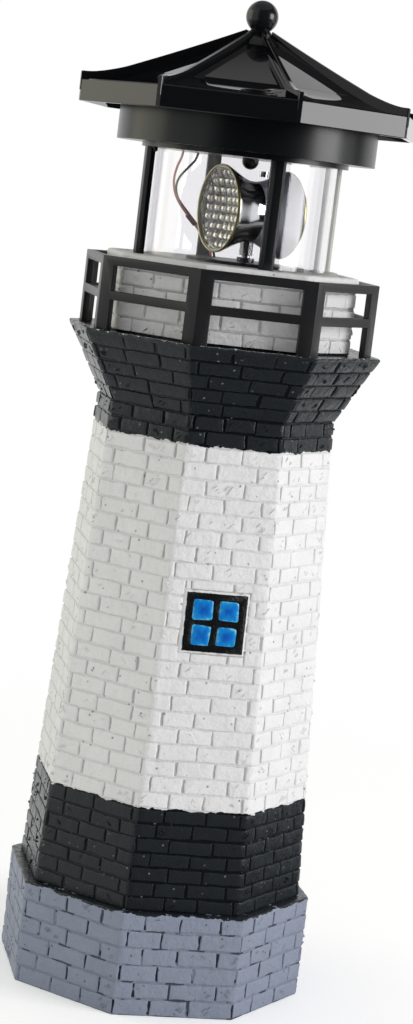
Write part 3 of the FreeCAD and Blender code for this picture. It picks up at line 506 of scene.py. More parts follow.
def ramped(start, end, spacing):
    """Places across a brick with the share of its full height at each."""
    length = end - start
    reach = min(1.0, length / (2.5 * EDGE_STEPS[-1][0]))
    rising = [(start + inset * reach, share) for inset, share in EDGE_STEPS]
    falling = [(end - inset * reach, share) for inset, share in reversed(EDGE_STEPS)]
    inner = falling[0][0] - rising[-1][0]
    count = max(1, round(inner / spacing))
    middle = [(rising[-1][0] + inner * step / count, 1.0) for step in range(1, count)]
    return rising + middle + falling


def brick_wobble(x, y, scale, seed):
    """Smooth noise over a wall, different for each seed."""
    return noise.noise(Vector((x * scale, y * scale, seed)))


def add_brick(shape, wall, left, right, low, high, seed):
    """One brick between two places round the wall, measured in millimetres along it."""
    side = wall.side((low + high) / 2)
    columns = ramped(left, right, COLUMN_SPACING)
    corner = math.ceil(left / side) * side
    if left + 0.8 < corner < right - 0.8:
        columns = [column for column in columns if abs(column[0] - corner) > CORNER_CLEAR]
        columns += [(corner - CORNER_ROUND, 1.0), (corner, 0.55), (corner + CORNER_ROUND, 1.0)]
        columns.sort()
    rows = []
    lift = 1 + BRICK_LIFT * random.uniform(-1, 1)
    lean = random.uniform(-BRICK_LEAN, BRICK_LEAN)
    for height, row_share in ramped(low, high, ROW_SPACING):
        row = []
        for place, column_share in columns:
            share = min(row_share, column_share)
            uneven = 0.17 * brick_wobble(place, height, 0.42, seed)
            uneven += 0.07 * brick_wobble(place, height, 1.5, seed)
            tipped = lean * (height - (low + high) / 2) / (high - low)
            proud = share * wall.relief * (lift + tipped) + max(share, 0) * uneven
            moved_place = place + 0.4 * brick_wobble(place, height, 0.4, seed + 9)
            moved_height = height + 0.38 * brick_wobble(place, height, 0.3, seed + 4)
            if abs(place - corner) < 0.01:
                moved_place = place
            moved_height = min(max(moved_height, wall.low + 0.05), wall.low + wall.rise * wall.courses - 0.05)
            row.append(wall.point(moved_place / side, moved_height, proud))
        rows.append(row)
    shape.grid(rows)


def around_window(left, right, low, high, side):
    """The parts of a brick that the window leaves."""
    middle = (WINDOW_FACET + 0.5) * side
    reach = WINDOW_HALF_WIDTH + WINDOW_MARGIN
    rise = WINDOW_HALF_HEIGHT + WINDOW_MARGIN
    window_left, window_right = middle - reach, middle + reach
    window_low, window_high = WINDOW_CENTRE - rise, WINDOW_CENTRE + rise
    if right <= window_left or left >= window_right or high <= window_low or low >= window_high:
        return [(left, right, low, high)]
    inner_left = max(left, window_left)
    inner_right = min(right, window_right)
    parts = [
        (left, window_left, low, high),
        (window_right, right, low, high),
        (inner_left, inner_right, low, window_low),
        (inner_left, inner_right, window_high, high),
    ]
    length, height = SMALLEST_BRICK
    return [part for part in parts if part[1] - part[0] > length and part[3] - part[2] > height]


def add_scratch(shape, wall, place, height, side, slant):
    """A short slanting nick that the mould left standing on a brick."""
    length = random.uniform(1.0, 2.3)
    along = Vector((math.cos(slant), math.sin(slant)))
    across = Vector((-along.y, along.x)) * random.uniform(0.14, 0.26)
    base = wall.relief * 0.8
    crest = wall.relief + random.uniform(0.25, 0.55)
    rows = []
    for offset, proud in ((-1, base), (0, crest), (1, base)):
        row = []
        for end, share in ((-0.5, 0.0), (-0.3, 1.0), (0.3, 1.0), (0.5, 0.0)):
            spot = Vector((place, height)) + along * (length * end) + across * offset
            row.append(wall.point(spot.x / side, spot.y, base + (proud - base) * share))
        rows.append(row)
    shape.grid(rows)


def lay_bricks(wall):
    """All the bricks of one wall, some of them with nicks."""
    shape = Shape()
    for course in range(wall.courses):
        low = wall.low + course * wall.rise
        high = low + wall.rise
        side = wall.side((low + high) / 2)
        girth = side * SIDES
        count = round(girth / wall.brick_length)
        pitch = girth / count
        shift = (0.5 if course % 2 else 0.0) + random.uniform(-COURSE_SHIFT, COURSE_SHIFT)
        joints = [
            (index + shift + random.uniform(-JOINT_SHIFT, JOINT_SHIFT)) * pitch for index in range(count)
        ]
        for index, left in enumerate(joints):
            right = joints[index + 1] if index + 1 < count else joints[0] + girth
            seed = random.uniform(0, 500)
            brick = [
                edge + inward * (JOINT_WIDTH / 2 + random.uniform(*BRICK_INSET))
                for edge, inward in ((left, 1), (right, -1), (low, 1), (high, -1))
            ]
            parts = around_window(*brick, side) if wall.name == "white_band" else [brick]
            for part in parts:
                add_brick(shape, wall, *part, seed)
                for _ in range(random.choice((0, 0, 0, 1, 1, 2))):
                    if part[1] - part[0] > 5:
                        place = random.uniform(part[0] + NICK_MARGIN, part[1] - 2.8)
                        slant = random.choice((1, 1, 1, -1)) * random.uniform(0.6, 1.0)
                        for nick in range(random.choice((1, 2, 2, 3))):
                            height = random.uniform(part[2] + NICK_MARGIN, part[3] - NICK_MARGIN)
                            add_scratch(shape, wall, place + nick * NICK_SPACING, height, side, slant)
    add_piece(f"bricks_{wall.name}", shape, "tower", BRICK_PAINT, 50)


def ragged_edge(name, radius, height, profile):
    """A lumpy rounded edge round the tower. Each step has its proud, its rise and its share of the lumps."""
    wall = Wall(name, height - 1, height + 1, radius, radius, 1, 1)
    rows = []
    steps = round(wall.side(height) / EDGE_SPACING)
    for facet in range(SIDES):
        for step in range(steps):
            around = facet + step / steps
            where = Vector((facet * 31.7 + step * 0.45, height, 0))
            lump = noise.noise(where) * EDGE_LUMP + noise.noise(where * 3.1) * EDGE_GRAIN
            rows.append([
                wall.point(around, height + rise + lump * share, proud + lump * 0.7 * share)
                for proud, rise, share in profile
            ])
    shape = Shape()
    shape.grid(rows, close_rows=True)
    add_piece(name, shape, "tower", BRICK_PAINT, 40)


random.seed(11)
for band in WALLS:
    lay_bricks(band)
for edge in EDGES:
    ragged_edge(*edge)


# ---- window ----

WINDOW_LEAN = math.atan((SHAFT_FOOT_RADIUS - SHAFT_TOP_RADIUS) * COS_HALF / (SHAFT_TOP - PLINTH_TOP))
WINDOW_FACE = SHAFT_FOOT_RADIUS * COS_HALF - math.tan(WINDOW_LEAN) * (WINDOW_CENTRE - PLINTH_TOP)


def on_front(across, up, proud):
    """A point on the tower's front face, measured from the window's centre."""
    return (
        across,
        -WINDOW_FACE + up * math.sin(WINDOW_LEAN) - proud * math.cos(WINDOW_LEAN),
        WINDOW_CENTRE + up * math.cos(WINDOW_LEAN) + proud * math.sin(WINDOW_LEAN),
    )


def rounded_loop(half_width, half_height, radius):
    """Points round a rectangle with rounded corners."""
    count = 6
    loop = []
    for quarter, (side, level) in enumerate(((1, 1), (-1, 1), (-1, -1), (1, -1))):
        for step in range(count + 1):
            angle = (quarter + step / count) * math.pi / 2
            loop.append((
                side * (half_width - radius) + radius * math.cos(angle),
                level * (half_height - radius) + radius * math.sin(angle),
            ))
    return loop


def square_loop():
    """Points evenly spaced round a square that reaches from -1 to 1."""
    corners = [(1, 1), (-1, 1), (-1, -1), (1, -1)]
    steps = 16
    loop = []
    for start, end in zip(corners, corners[1:] + corners[:1]):
        for step in range(steps):
            share = step / steps
            loop.append(tuple(near + (far - near) * share for near, far in zip(start, end)))
    return loop


def window_surround():
    """The cast border round the window, left white like the wall and wider at its left."""
    rows = []
    for grow, proud in SURROUND_PROFILE:
        row = []
        for across, up in square_loop():
            lump = noise.noise(Vector((across * 6, up * 6, 0)))
            lump += 0.5 * noise.noise(Vector((across * 14, up * 14, 5)))
            spread = grow * (0.95 if across < -0.95 else 0.55) + 0.4 * lump
            row.append(on_front(
                across * WINDOW_HALF_WIDTH + spread * (across if abs(across) == 1 else 0),
                up * WINDOW_HALF_HEIGHT + spread * (up if abs(up) == 1 else 0),
                proud + 0.12 * lump,
            ))
        rows.append(row)
    add_piece("window_surround", closed_shape(rows), "tower", BRICK_PAINT, 50)


def window_pane(number, centre_x, centre_z):
    """One thick blue pane, crowned like a drop of enamel."""
    half_width = 3.5 + random.uniform(-0.15, 0.2)
    half_height = 3.6 + random.uniform(-0.2, 0.2)
    rows = []
    for ring in range(PANE_RINGS + 1):
        share = ring / PANE_RINGS
        row = []
        for across, up in rounded_loop(half_width * share, half_height * share, 0.9 * share):
            crown = PANE_CROWN * (1 - share ** 5)
            swirl = 0.16 * noise.noise(Vector((across * 0.6, up * 0.6, number * 7)))
            ragged = 1 + 0.16 * share * noise.noise(Vector((across * 0.55, up * 0.55, number * 5)))
            proud = PANE_PROUD + crown + swirl * (1 - share)
            row.append(on_front(centre_x + across * ragged, centre_z + up * ragged, proud))
        rows.append(row)
    piece = add_piece(f"window_pane_{number}", closed_shape(rows), "tower", PANE_PAINT)
    point_values(piece, "edge", [ring / PANE_RINGS for ring in range(PANE_RINGS + 1) for _ in rows[0]])


def pane_paint():
    """Blue enamel, deep in the middle of a pane and pale at its edge."""
    made = Material("pane_enamel", IOR=1.5)
    edge = made.node("ShaderNodeAttribute", attribute_name="edge").outputs["Fac"]
    streaks = made.between(made.noise(1.7, detail=4, stretch=(1, 1, 0.7)), -0.55, 0.55)
    faded = made.math("ADD", edge, streaks)
    deep = made.blend(made.step(faded, -0.1, 1.0), linear(0, 84, 186), linear(8, 140, 218))
    made.colour(made.blend(made.step(faded, 0.78, 1.15), deep, linear(110, 208, 236)))
    made.roughness(made.between(made.noise(1.5), 0.12, 0.3))
    made.bump(made.noise(1.1, detail=3), 0.12)
    return made.material


PANE_PAINT = pane_paint()
window_surround()
for number, (side, level) in enumerate(((-1, 1), (1, 1), (-1, -1), (1, -1)), start=1):
    window_pane(number, side * PANE_ASIDE, level * PANE_ABOVE)


# ---- roof ----

EAVE_RADIUS = 62.0
SWEEP_RADIUS = 44.0
PEAK_RADIUS = 5.6
SWEEP_RISE = 4.1
HIP_RISE = 17.0 / (SWEEP_RADIUS - PEAK_RADIUS)
ROOF_SAG = 0.25
ROOF_RADIUS = 63.0
FASCIA_CHAMFER = 0.9
SOFFIT_LEVEL = FASCIA_TOP - 2.2
SOFFIT_HOLE = 44.9
FASCIA_OUTLINE = [
    (59.2, SOFFIT_LEVEL), (61.0, FASCIA_BOTTOM + 0.35), (61.3, FASCIA_BOTTOM), (62.7, FASCIA_BOTTOM),
    (ROOF_RADIUS, FASCIA_BOTTOM + 0.3), (ROOF_RADIUS, FASCIA_TOP - 0.35), (62.75, FASCIA_TOP + 0.05),
    (61.9, FASCIA_TOP + 0.05), (61.65, FASCIA_TOP - 0.3), (61.4, FASCIA_TOP - 0.3),
]
SKIN_RADII = [61.2, 59.5, 57.5, 55, 52, 49, 46.5, SWEEP_RADIUS, 38, 32, 26, 20, 14, 9, PEAK_RADIUS]
RIB_RADII = [62.95, 62.6, 61.5, 60, 58, 55.5, 53, 50, 47, 44, 36, 28, 20, 13, 8.0, 5.2]
RIB_WIDTH = 1.7
RIB_HEIGHT = 3.4
RIB_FOOT_HEIGHT = 2.8
RIB_SECTION = [
    (-1.0, -1.4), (-1.0, 0.84), (-0.9, 0.96), (-0.7, 1.0), (0.7, 1.0), (0.9, 0.96), (1.0, 0.84), (1.0, -1.4),
]
CROWN_PROFILE = [(9.6, -1.2, 0.0), (8.4, 0.5, 0.9), (6.4, 1.4, 0.7), (4.6, 2.2, 0.25), (3.2, 3.0, 0.0)]


def roof_height(radius):
    """Height of the roof's skin at a corner radius, flat at the eaves and a little hollow higher up."""
    if radius <= SWEEP_RADIUS:
        share = (radius - PEAK_RADIUS) / (SWEEP_RADIUS - PEAK_RADIUS)
        return ROOF_TOP - HIP_RISE * (radius - PEAK_RADIUS) - 4 * ROOF_SAG * share * (1 - share)
    share = (EAVE_RADIUS - min(radius, EAVE_RADIUS)) / (EAVE_RADIUS - SWEEP_RADIUS)
    return FASCIA_TOP + SWEEP_RISE * share ** 2


def roof_point(facet, across, radius, height):
    """A point on a roof facet, across from -1 to 1 between its hips."""
    reach = radius * COS_HALF
    return (*turned(reach, across * reach * TAN_HALF, facet * 2 * HALF_SIDE + ROOF_TURN), height)


def roof_skin():
    """The eight facets, the fascia with its cut corners and the underside."""
    chamfer = FASCIA_CHAMFER / (ROOF_RADIUS * math.sin(HALF_SIDE))
    rows = []
    for radius, height in FASCIA_OUTLINE + [(radius, roof_height(radius)) for radius in SKIN_RADII]:
        cut = chamfer if radius > 61.1 else 0.0
        places = (-1 + cut, -0.5, 0.0, 0.5, 1 - cut)
        rows.append([
            roof_point(facet, across, radius, height) for facet in range(SIDES) for across in places
        ])
    piece = add_piece("roof_skin", closed_shape(rows), "lantern", ROOF_BLACK, 22)
    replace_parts(piece, "roof_shell")


def roof_soffit():
    """The flat underside between the fascia and the housing."""
    outline = [(60.4, SOFFIT_LEVEL), (SOFFIT_HOLE, SOFFIT_LEVEL), (SOFFIT_HOLE, FASCIA_TOP - 1.0)]
    rows = [[roof_point(facet, 1.0, *corner) for facet in range(SIDES)] for corner in outline]
    add_piece("roof_soffit", closed_shape(rows), "lantern", GLOSS_BLACK, 30)


def roof_ribs():
    """Eight hip ribs, rounded on top and curled up a little at the eaves."""
    shape = Shape()
    for hip in range(SIDES):
        angle = (hip + 0.5) * 2 * HALF_SIDE + ROOF_TURN
        rows = []
        for radius in RIB_RADII:
            half = RIB_WIDTH / 2
            swell = min(1.0, max(0.0, (radius - 50) / 12))
            tall = RIB_HEIGHT - (RIB_HEIGHT - RIB_FOOT_HEIGHT) * swell ** 2 * (3 - 2 * swell)
            if radius > 62.8:
                half = 0.7
                tall -= 0.25
            rows.append([
                (*turned(radius, across * half, angle), roof_height(radius) + up * tall)
                for across, up in RIB_SECTION
            ])
        first = len(shape.points)
        shape.grid(rows)
        shape.faces.append(tuple(range(first, first + len(RIB_SECTION)))[::-1])
    add_piece("roof_ribs", shape, "lantern", ROOF_BLACK, 28)


def roof_crown():
    """The small collar of arches where the ribs meet the neck of the ball."""
    steps = 64
    rows = []
    for radius, rise, wave in CROWN_PROFILE:
        row = []
        for step in range(steps):
            angle = 2 * math.pi * step / steps
            ridge = 0.5 + 0.5 * math.cos(SIDES * (angle - ROOF_TURN - HALF_SIDE))
            height = roof_height(radius) + rise + wave * (ridge ** 2 - 0.5)
            row.append((*turned(radius, 0, angle), height))
        rows.append(row)
    add_piece("roof_crown", closed_shape(rows), "lantern", ROOF_BLACK)


GLOSS_BLACK = plain_finish("gloss_black", linear(24, 25, 27), 0.2, grain=3.0, bump=0.015, IOR=1.5)
ROOF_BLACK = plain_finish("roof_black", linear(18, 19, 21), 0.03, grain=9.0, bump=0.0, IOR=1.5)
roof_skin()
roof_soffit()
roof_ribs()
roof_crown()


# ---- beacon ----

BOWL_PROFILE = [
    (0.0, 11.0), (1.5, 11.05), (3.0, 11.3), (4.5, 11.75), (6.0, 12.35), (7.5, 13.05), (9.0, 13.8),
    (10.5, 14.55), (11.6, 15.1), (12.4, 15.5), (12.9, 15.7), (13.3, 15.7), (13.35, 15.55), (13.3, 14.75),
    (11.2, 14.7), (11.1, 14.4),
]
RIM_PROFILE = [
    (12.9, 15.75), (13.6, 15.85), (13.9, 15.65), (13.95, 15.4), (13.8, 15.1), (13.3, 14.95), (12.6, 14.9),
    (12.4, 14.6),
]
DISH_RADIUS = 14.3
DISH_BOTTOM = 6.4
DISH_DEPTH = 4.4
DISH_STEP = 0.388
FACET = 3.1
PILLOW = 0.72


def beacon_point(side, reach, across, up):
    """A point measured along the beacon's level axis from its waist, to one side."""
    x, y = turned(side * reach, across, BEACON_TURN)
    return BEACON_X + x, BEACON_Y + y, BEACON_Z + up


def beacon_turned(name, side, profile, material, sharp, node):
    """A piece turned round the beacon's level axis, from pairs of reach and radius, in a node's place."""
    rows = [
        [beacon_point(side, reach, radius * across, radius * up) for across, up in circle(72)]
        for reach, radius in profile
    ]
    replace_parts(add_piece(name, closed_shape(rows), "beacon", material, sharp), node)


def facet_dish(name, side):
    """The hollow mirror behind the lens, pressed into small square pillows."""
    half = math.ceil(DISH_RADIUS / DISH_STEP) + 1
    shape = Shape()
    places = {}
    grooves = []
    for row in range(-half, half + 1):
        for column in range(-half, half + 1):
            across = column * DISH_STEP
            up = row * DISH_STEP
            away = math.hypot(across, up)
            if away > DISH_RADIUS:
                across *= DISH_RADIUS / away
                up *= DISH_RADIUS / away
                if away > DISH_RADIUS + 1.2 * DISH_STEP:
                    continue
            share = min(away, DISH_RADIUS) / DISH_RADIUS
            cell_x = ((across / FACET + 0.5) % 1.0) * 2 - 1
            cell_z = ((up / FACET + 0.5) % 1.0) * 2 - 1
            pillow = PILLOW * (1 - cell_x ** 2) * (1 - cell_z ** 2)
            reach = DISH_BOTTOM + DISH_DEPTH * share ** 2 + pillow * (1 if share < 0.97 else 0)
            places[row, column] = len(shape.points)
            shape.points.append(beacon_point(side, reach, across, up))
            grooves.append(max(abs(cell_x), abs(cell_z)) ** 3)
    for (row, column), here in places.items():
        corners = [places.get(key) for key in ((row, column + 1), (row + 1, column + 1), (row + 1, column))]
        if None not in corners:
            shape.faces.append((here, *corners))
    piece = add_piece(f"facet_dish_{name}", shape, "beacon", DISH_CHROME, 24)
    point_values(piece, "groove", grooves)


def dish_plate_and_groove_shade():
    """Bright plating, darkened by painted shade in the grooves between the pillows."""
    made = Material("dish_plate", Metallic=1.0)
    groove = made.node("ShaderNodeAttribute", attribute_name="groove").outputs["Fac"]
    uneven = made.between(made.noise(5, detail=2), -0.2, 0.2)
    # Painted shade: the plating turns dark where its pillows meet in grooves.
    dark = made.step(made.math("ADD", groove, uneven), 0.2, 0.75)
    made.colour(made.blend(dark, linear(246, 245, 236), linear(66, 64, 54)))
    made.roughness(made.between(made.noise(2), 0.05, 0.14))
    return made.material


CHROME = plain_finish(
    "chrome_plate", linear(228, 230, 232), 0.07, spread=0.03, grain=3.0, bump=0.01, Metallic=1.0,
)
DISH_CHROME = dish_plate_and_groove_shade()
PALE_GOLD = plain_finish("pale_gold", linear(178, 170, 122), 0.3, spread=0.1, grain=1.0, Metallic=0.75)
# The right bowl is the same chrome part as the left one. This paler, half-metal copy is painted reflection:
# it stands for the bright light that bowl mirrors.
CHROME_PAINTED_SHEEN = plain_finish(
    "chrome_painted_sheen", linear(222, 222, 236), 0.3, spread=0.04, grain=6.0, bump=0.01, Metallic=0.55,
)
for name, side, bowl_finish in (("left", -1, CHROME), ("right", 1, CHROME_PAINTED_SHEEN)):
    beacon_turned(f"bowl_{name}", side, BOWL_PROFILE, bowl_finish, 40, f"reflector_{name}")
    facet_dish(name, side)
    beacon_turned(f"rim_{name}", side, RIM_PROFILE, PALE_GOLD, 45, f"bezel_{name}")


# ---- leads ----

RED_ROUTE = [
    (-20.2, 13.6, 309.4), (-20.2, 13.6, 302.8), (-22.3, 13.1, 298.2), (-23.1, 12.8, 292.6),
    (-21.4, 13.6, 287.4), (-17.6, 15.7, 283.0), (-10.4, 18.7, 276.5), (-7.6, 16.6, 271.9),
    (-5.5, 12.8, 268.6), (-5.5, 12.8, 264.4),
]
BLACK_ROUTE = [
    (-13.8, 16.8, 309.4), (-13.8, 16.8, 302.4), (-17.6, 16.0, 298.2), (-21.6, 15.0, 293.2),
    (-20.9, 15.6, 287.6), (-16.9, 17.7, 283.5), (-9.7, 20.7, 277.0), (-6.4, 18.6, 272.2),
    (-4.0, 13.9, 268.6), (-4.0, 13.9, 264.4),
]
LEAD_RADIUS = 0.45


def lead(name, route, material, node):
    """A soft lead along a route, in a node's place, that rides on the lantern."""
    curve = bpy.data.curves.new(name, "CURVE")
    curve.dimensions = "3D"
    curve.bevel_depth = LEAD_RADIUS * MM
    curve.bevel_resolution = 5
    curve.use_fill_caps = True
    spline = curve.splines.new("NURBS")
    spline.points.add(len(route) - 1)
    for point, place in zip(spline.points, route):
        point.co = (*(Vector(place) * MM), 1.0)
    spline.order_u = 3
    spline.use_endpoint_u = True
    spline.resolution_u = 10
    piece = add_object(name, curve)
    curve.materials.append(material)
    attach(piece, "lantern")
    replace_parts(piece, node)


RED_VINYL = plain_finish("red_vinyl", linear(244, 138, 142), 0.4, grain=1.0, bump=0.02)
BLACK_VINYL = plain_finish("black_vinyl", linear(40, 41, 44), 0.4, grain=1.0, bump=0.02)
lead("red_lead", RED_ROUTE, RED_VINYL, "red_wire")
lead("black_lead", BLACK_ROUTE, BLACK_VINYL, "black_wire")


# ---- finishes of the carried-over nodes ----

def clear_finish(name, tint, roughness):
    """A clear plastic."""
    made = Material(name, Base_Color=tint, IOR=1.49, Transmission_Weight=1.0)
    made.roughness(made.between(made.noise(20), roughness * 0.5, roughness * 1.5))
    made.bump(made.noise(16, detail=1), 0.02)
    return made.material


# Painted reflection: cage_post_1 is black like the other posts, and this pale grey stands for the key light's
# glare on it. The ring at its foot takes the same grey.
POST_GLARE_GREY = plain_finish("post_glare_grey", linear(186, 188, 183), 0.22, spread=0.06, grain=2.0, bump=0.01)
HOUSING_BLACK = plain_finish(
    "housing_black", linear(12, 16, 19), 0.26, spread=0.1, grain=30.0, bump=0.0, Specular_IOR_Level=0.43,
)
DRESSED = {
    JOINT_PAINT: "tower_casting",
    GLOSS_BLACK: "finial_ball",
    clear_finish("clear_tube", (0.955, 0.95, 0.965, 1.0), 0.015): "clear_tube beacon_stem",
    clear_finish("clear_lens", (0.98, 0.98, 0.96, 1.0), 0.02): "lens_left lens_right",
    clear_finish("lamp_resin", (0.98, 0.97, 0.9, 1.0), 0.05): "led_lamp",
    POST_GLARE_GREY: "cage_post_1",
    HOUSING_BLACK: "roof_housing upper_collar cage_post_2 cage_post_3 cage_post_4",
    CHROME: "reflector_clip",
}
PLAIN_FINISHES = [
    ("satin_black", (30, 31, 33), 0.36, {"grain": 1.4, "bump": 0.03},
     "gallery_railing ceiling_boss drive_lid drive_housing bottom_cap"),
    ("solar_plate", (16, 17, 21), 0.03, {"spread": 0.2, "grain": 12.0, "bump": 0.0, "IOR": 1.55},
     " ".join(f"solar_cell_{number}" for number in range(1, SIDES + 1))),
    ("white_plastic", (226, 226, 221), 0.45, {"spread": 0.05, "grain": 1.0, "bump": 0.04},
     "lantern_floor switch_knob"),
    ("steel", (170, 172, 176), 0.25, {"spread": 0.08, "grain": 1.0, "Metallic": 1.0},
     "motor battery_contact battery_spring cap_screws beacon_shaft led_post"),
    ("dark_steel", (92, 94, 98), 0.3, {"spread": 0.08, "grain": 1.0, "Metallic": 1.0}, "shaft_bush"),
    ("frame_black", (20, 22, 24), 0.26, {"grain": 0.9, "bump": 0.3}, "window_frame"),
    ("gear_plastic", (226, 224, 214), 0.35, {"spread": 0.04, "grain": 1.0}, "spin_gear motor_pinion"),
    ("board_green", (38, 92, 62), 0.4, {"spread": 0.2, "grain": 0.8, "bump": 0.04}, "circuit_board"),
    ("battery_wrap", (60, 122, 78), 0.3, {"spread": 0.06, "grain": 3.0}, "battery"),
    ("switch_case", (52, 52, 54), 0.4, {"grain": 0.8}, "switch_body"),
    ("sleeve_red", (112, 22, 34), 0.35, {"grain": 0.8, "bump": 0.04}, "splice_sleeve"),
    ("deep_blue", (4, 70, 140), 0.2, {"spread": 0.2, "grain": 1.5}, "window_glazing"),
]
for finish, colour, roughness, settings, nodes in PLAIN_FINISHES:
    DRESSED[plain_finish(finish, linear(*colour), roughness, **settings)] = nodes
for finish, nodes in DRESSED.items():
    for node in nodes.split():
        NODES[node].data.materials.clear()
        NODES[node].data.materials.append(finish)

soften("gallery_railing", 0.35)
soften("window_frame", 0.3)
for number in range(1, 5):
    soften(f"cage_post_{number}", 0.3)
for name in (
    "finial_ball clear_tube led_lamp beacon_stem ceiling_boss lens_left lens_right roof_housing "
    "upper_collar lantern_floor drive_lid"
).split():
    auto_smooth(name)


FOOT_PROFILE = [(3.3, -0.2), (3.35, 0.55), (3.7, 0.75), (4.5, 0.7), (4.95, 0.4), (5.05, -0.2)]
CLIP_STEPS = [
    (-0.4, 1.0, 0.95, 0), (1.0, 1.0, 1.0, 10), (2.0, 1.4, 0.95, 35), (2.7, 2.2, 0.8, 65), (2.9, 3.1, 0.5, 85),
    (2.9, 3.4, 0.1, 88),
]


def post_foot():
    """The low ring round the foot of the post that is painted pale grey for glare."""
    low, high = (Vector(corner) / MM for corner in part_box("cage_post_1"))
    middle = (low + high) / 2
    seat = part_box("lantern_floor")[1][2] / MM
    rows = [
        [(middle.x + radius * along, middle.y + radius * aside, seat + rise) for along, aside in circle(40)]
        for radius, rise in FOOT_PROFILE
    ]
    add_piece("post_foot", closed_shape(rows), "lantern", POST_GLARE_GREY)


def post_clip():
    """The small hooked catch at the top of the left post."""
    low, high = (Vector(corner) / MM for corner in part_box("cage_post_3"))
    root = Vector(((low.x + high.x) / 2, low.y + 1.0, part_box("roof_housing")[0][2] / MM))
    forward = Vector((0.5, -0.866, 0))
    across = Vector((0.866, 0.5, 0))
    upward = Vector((0, 0, 1))
    rows = []
    for along, drop, half, turn in CLIP_STEPS:
        tilt = math.radians(turn)
        centre = root + forward * along - upward * drop
        lift = upward * math.cos(tilt) + forward * math.sin(tilt)
        rows.append([centre + across * (1.2 * half * aside) + lift * (half * up) for aside, up in circle(16)])
    add_piece("post_clip", closed_shape(rows), "lantern", HOUSING_BLACK)


post_foot()
post_clip()


# ---- studio ----

CAMERA_TURN = math.radians(-11.9)
CAMERA_RISE = math.radians(7.86)
CAMERA_ROLL = math.radians(6.94)
CAMERA_DISTANCE = 869.0
CAMERA_ASIDE = 1.58
CAMERA_HEIGHT = 174.65
FOCAL_PIXELS = 2365.2
IMAGE_HEIGHT = 1024
SENSOR = 36.0
CAMERA_AZIMUTH = CAMERA_TURN - math.pi / 2

# Lengths here are in metres. The tops and the ceiling's edge are the upward parts of the directions in which
# a gloss sees them, and the foot and the fade are distances from the object on the floor.
AIM_HEIGHT = 0.17
DARK_ROOM = 0.012
LEFT_WALL = 0.6
WALL_TOP = (0.9, 0.7)
PAPER_TOP = (0.63, 0.57)
CEILING_GLOW = 0.34
CEILING_EDGE = (0.728, 0.745)
PANEL_AZIMUTH = math.radians(-7)
PANEL_TOP = (0.36, 0.24)
PANEL_FOOT = (0.7, 1.1)
PLAIN_LIGHT = 0.59
FLOOR_FADE = (0.12, 0.6)
FLOOR_GLOW = 0.3


def studio_camera():
    """The camera that was fitted to the photograph."""
    right = Vector((math.cos(CAMERA_TURN), math.sin(CAMERA_TURN), 0))
    back = Vector((
        math.sin(CAMERA_TURN) * math.cos(CAMERA_RISE),
        -math.cos(CAMERA_TURN) * math.cos(CAMERA_RISE),
        math.sin(CAMERA_RISE),
    ))
    up = back.cross(right)
    across = right * math.cos(CAMERA_ROLL) + up * math.sin(CAMERA_ROLL)
    along = up * math.cos(CAMERA_ROLL) - right * math.sin(CAMERA_ROLL)
    target = right * CAMERA_ASIDE + Vector((0, 0, CAMERA_HEIGHT))
    data = bpy.data.cameras.new("camera")
    data.sensor_width = SENSOR
    data.lens = FOCAL_PIXELS / IMAGE_HEIGHT * SENSOR
    data.clip_start = 0.05
    data.clip_end = 50
    camera = add_object("camera", data)
    turn = Matrix((across, along, back)).transposed().to_4x4()
    camera.matrix_world = Matrix.Translation((target + back * CAMERA_DISTANCE) * MM) @ turn
    bpy.context.scene.camera = camera


def softbox(name, azimuth, elevation, distance, width, height, radiance, tint):
    """A soft rectangular light, aimed at the middle of the object."""
    turn = math.radians(azimuth)
    rise = math.radians(elevation)
    bearing = Vector((math.cos(turn) * math.cos(rise), math.sin(turn) * math.cos(rise), math.sin(rise)))
    data = bpy.data.lights.new(name, "AREA")
    data.shape = "RECTANGLE"
    data.size = width
    data.size_y = height
    data.energy = radiance * math.pi * width * height
    data.color = tint
    light = add_object(name, data)
    light.location = bearing * distance + Vector((0, 0, AIM_HEIGHT))
    light.rotation_euler = bearing.to_track_quat("Z", "Y").to_euler()


def room_beside(nodes, bearing):
    """What a gloss sees beside the object: white paper behind it and a light wall at its left."""
    behind = nodes.step(nodes.towards(bearing, CAMERA_AZIMUTH + math.pi), 0.4, 0.7)
    left = nodes.step(nodes.towards(bearing, CAMERA_TURN + math.pi), 0.35, 0.65)
    return behind, nodes.most(nodes.times(left, LEFT_WALL), DARK_ROOM)


def front_panel(nodes, bearing, share):
    """The bright panel in front that the waist of the beacon mirrors, for a share of 1 within its height."""
    return nodes.times(nodes.step(nodes.towards(bearing, PANEL_AZIMUTH), 0.95, 0.985), share)


def ray_kinds(nodes):
    """Which rays see the white background and which see the room, also through the clear tube."""
    rays = nodes.node("ShaderNodeLightPath")
    mirrored = nodes.over(rays.outputs["Glossy Depth"], 0.5)
    glossy = nodes.times(mirrored, nodes.rest(rays.outputs["Is Diffuse Ray"]))
    straight = nodes.most(rays.outputs["Is Camera Ray"], rays.outputs["Is Transmission Ray"])
    return nodes.times(straight, nodes.rest(glossy)), glossy


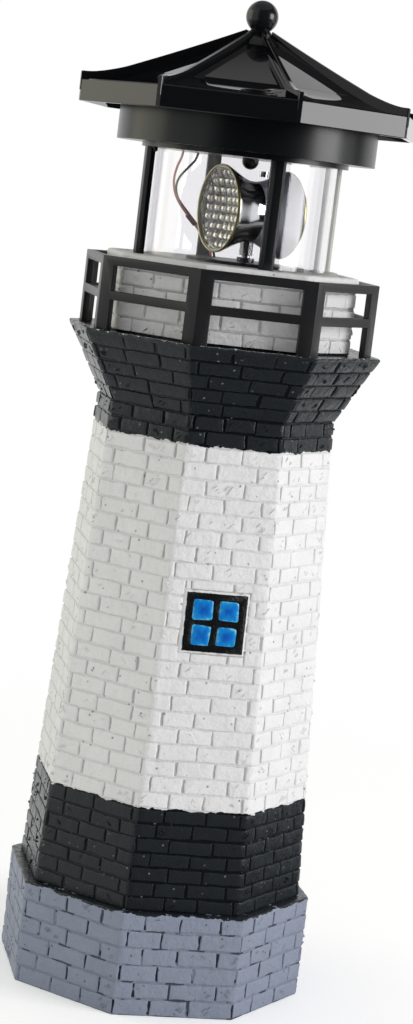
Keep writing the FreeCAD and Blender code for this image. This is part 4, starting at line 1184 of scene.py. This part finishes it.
def studio_world():
    """White behind the object, plain for its light, and a room with dark and light sides for its gloss."""
    world = bpy.data.worlds.new("studio")
    bpy.context.scene.world = world
    world.use_nodes = True
    nodes = Nodes(world.node_tree)
    nodes.tree.nodes.clear()
    direction = nodes.node("ShaderNodeTexCoord").outputs["Generated"]
    up = nodes.height(direction)
    bearing = nodes.bearing(direction)
    behind, beside = room_beside(nodes, bearing)
    paper = nodes.times(behind, nodes.step(up, *PAPER_TOP))
    ceiling = nodes.times(nodes.step(up, *CEILING_EDGE), CEILING_GLOW)
    wall = nodes.times(beside, nodes.step(up, *WALL_TOP))
    panel = front_panel(nodes, bearing, nodes.step(up, *PANEL_TOP))
    gloss = nodes.most(paper, ceiling, wall, DARK_ROOM, panel)
    seen, glossy = ray_kinds(nodes)
    lit = nodes.math("ADD", nodes.times(glossy, gloss), nodes.times(nodes.rest(glossy), PLAIN_LIGHT))
    background = nodes.node("ShaderNodeBackground")
    background.inputs["Color"].default_value = (1, 1, 1, 1)
    nodes.link(nodes.most(seen, lit), background.inputs["Strength"])
    nodes.link(background.outputs[0], nodes.node("ShaderNodeOutputWorld").inputs["Surface"])


def studio_floor():
    """A pale floor that fades to the white of the background away from the object."""
    bpy.ops.mesh.primitive_plane_add(size=30)
    floor = bpy.context.object
    floor.name = "floor"
    made = Material("floor_paper", Base_Color=(0.9, 0.9, 0.9, 1), Roughness=0.8)
    seen, glossy = ray_kinds(made)
    away = made.length(made.place)
    far = made.times(seen, made.step(away, *FLOOR_FADE))
    bearing = made.bearing(made.place)
    panel = front_panel(made, bearing, made.step(away, *PANEL_FOOT))
    gloss = made.node("ShaderNodeEmission")
    made.link(made.most(*room_beside(made, bearing), panel), gloss.inputs["Strength"])
    paper = made.node("ShaderNodeEmission")
    for factor, glow in ((far, paper), (glossy, gloss)):
        mixed = made.node("ShaderNodeMixShader")
        made.link(factor, mixed.inputs[0])
        surface = made.tree.nodes["Material Output"].inputs["Surface"]
        made.link(surface.links[0].from_socket, mixed.inputs[1])
        made.link(glow.outputs[0], mixed.inputs[2])
        made.link(mixed.outputs[0], surface)
    made.shader.inputs["Emission Color"].default_value = (1, 1, 1, 1)
    made.link(made.times(seen, FLOOR_GLOW), made.shader.inputs["Emission Strength"])
    floor.data.materials.append(made.material)


studio_camera()
studio_world()
studio_floor()
softbox(
    "key_right", azimuth=-29, elevation=15, distance=1.3, width=0.6, height=0.65, radiance=7.0,
    tint=(1.0, 0.99, 1.0),
)
softbox(
    "fill_left", azimuth=160, elevation=14, distance=1.2, width=0.9, height=0.95, radiance=1.15,
    tint=(1.0, 0.985, 0.74),
)

bpy.context.scene.view_settings.view_transform = "Standard"
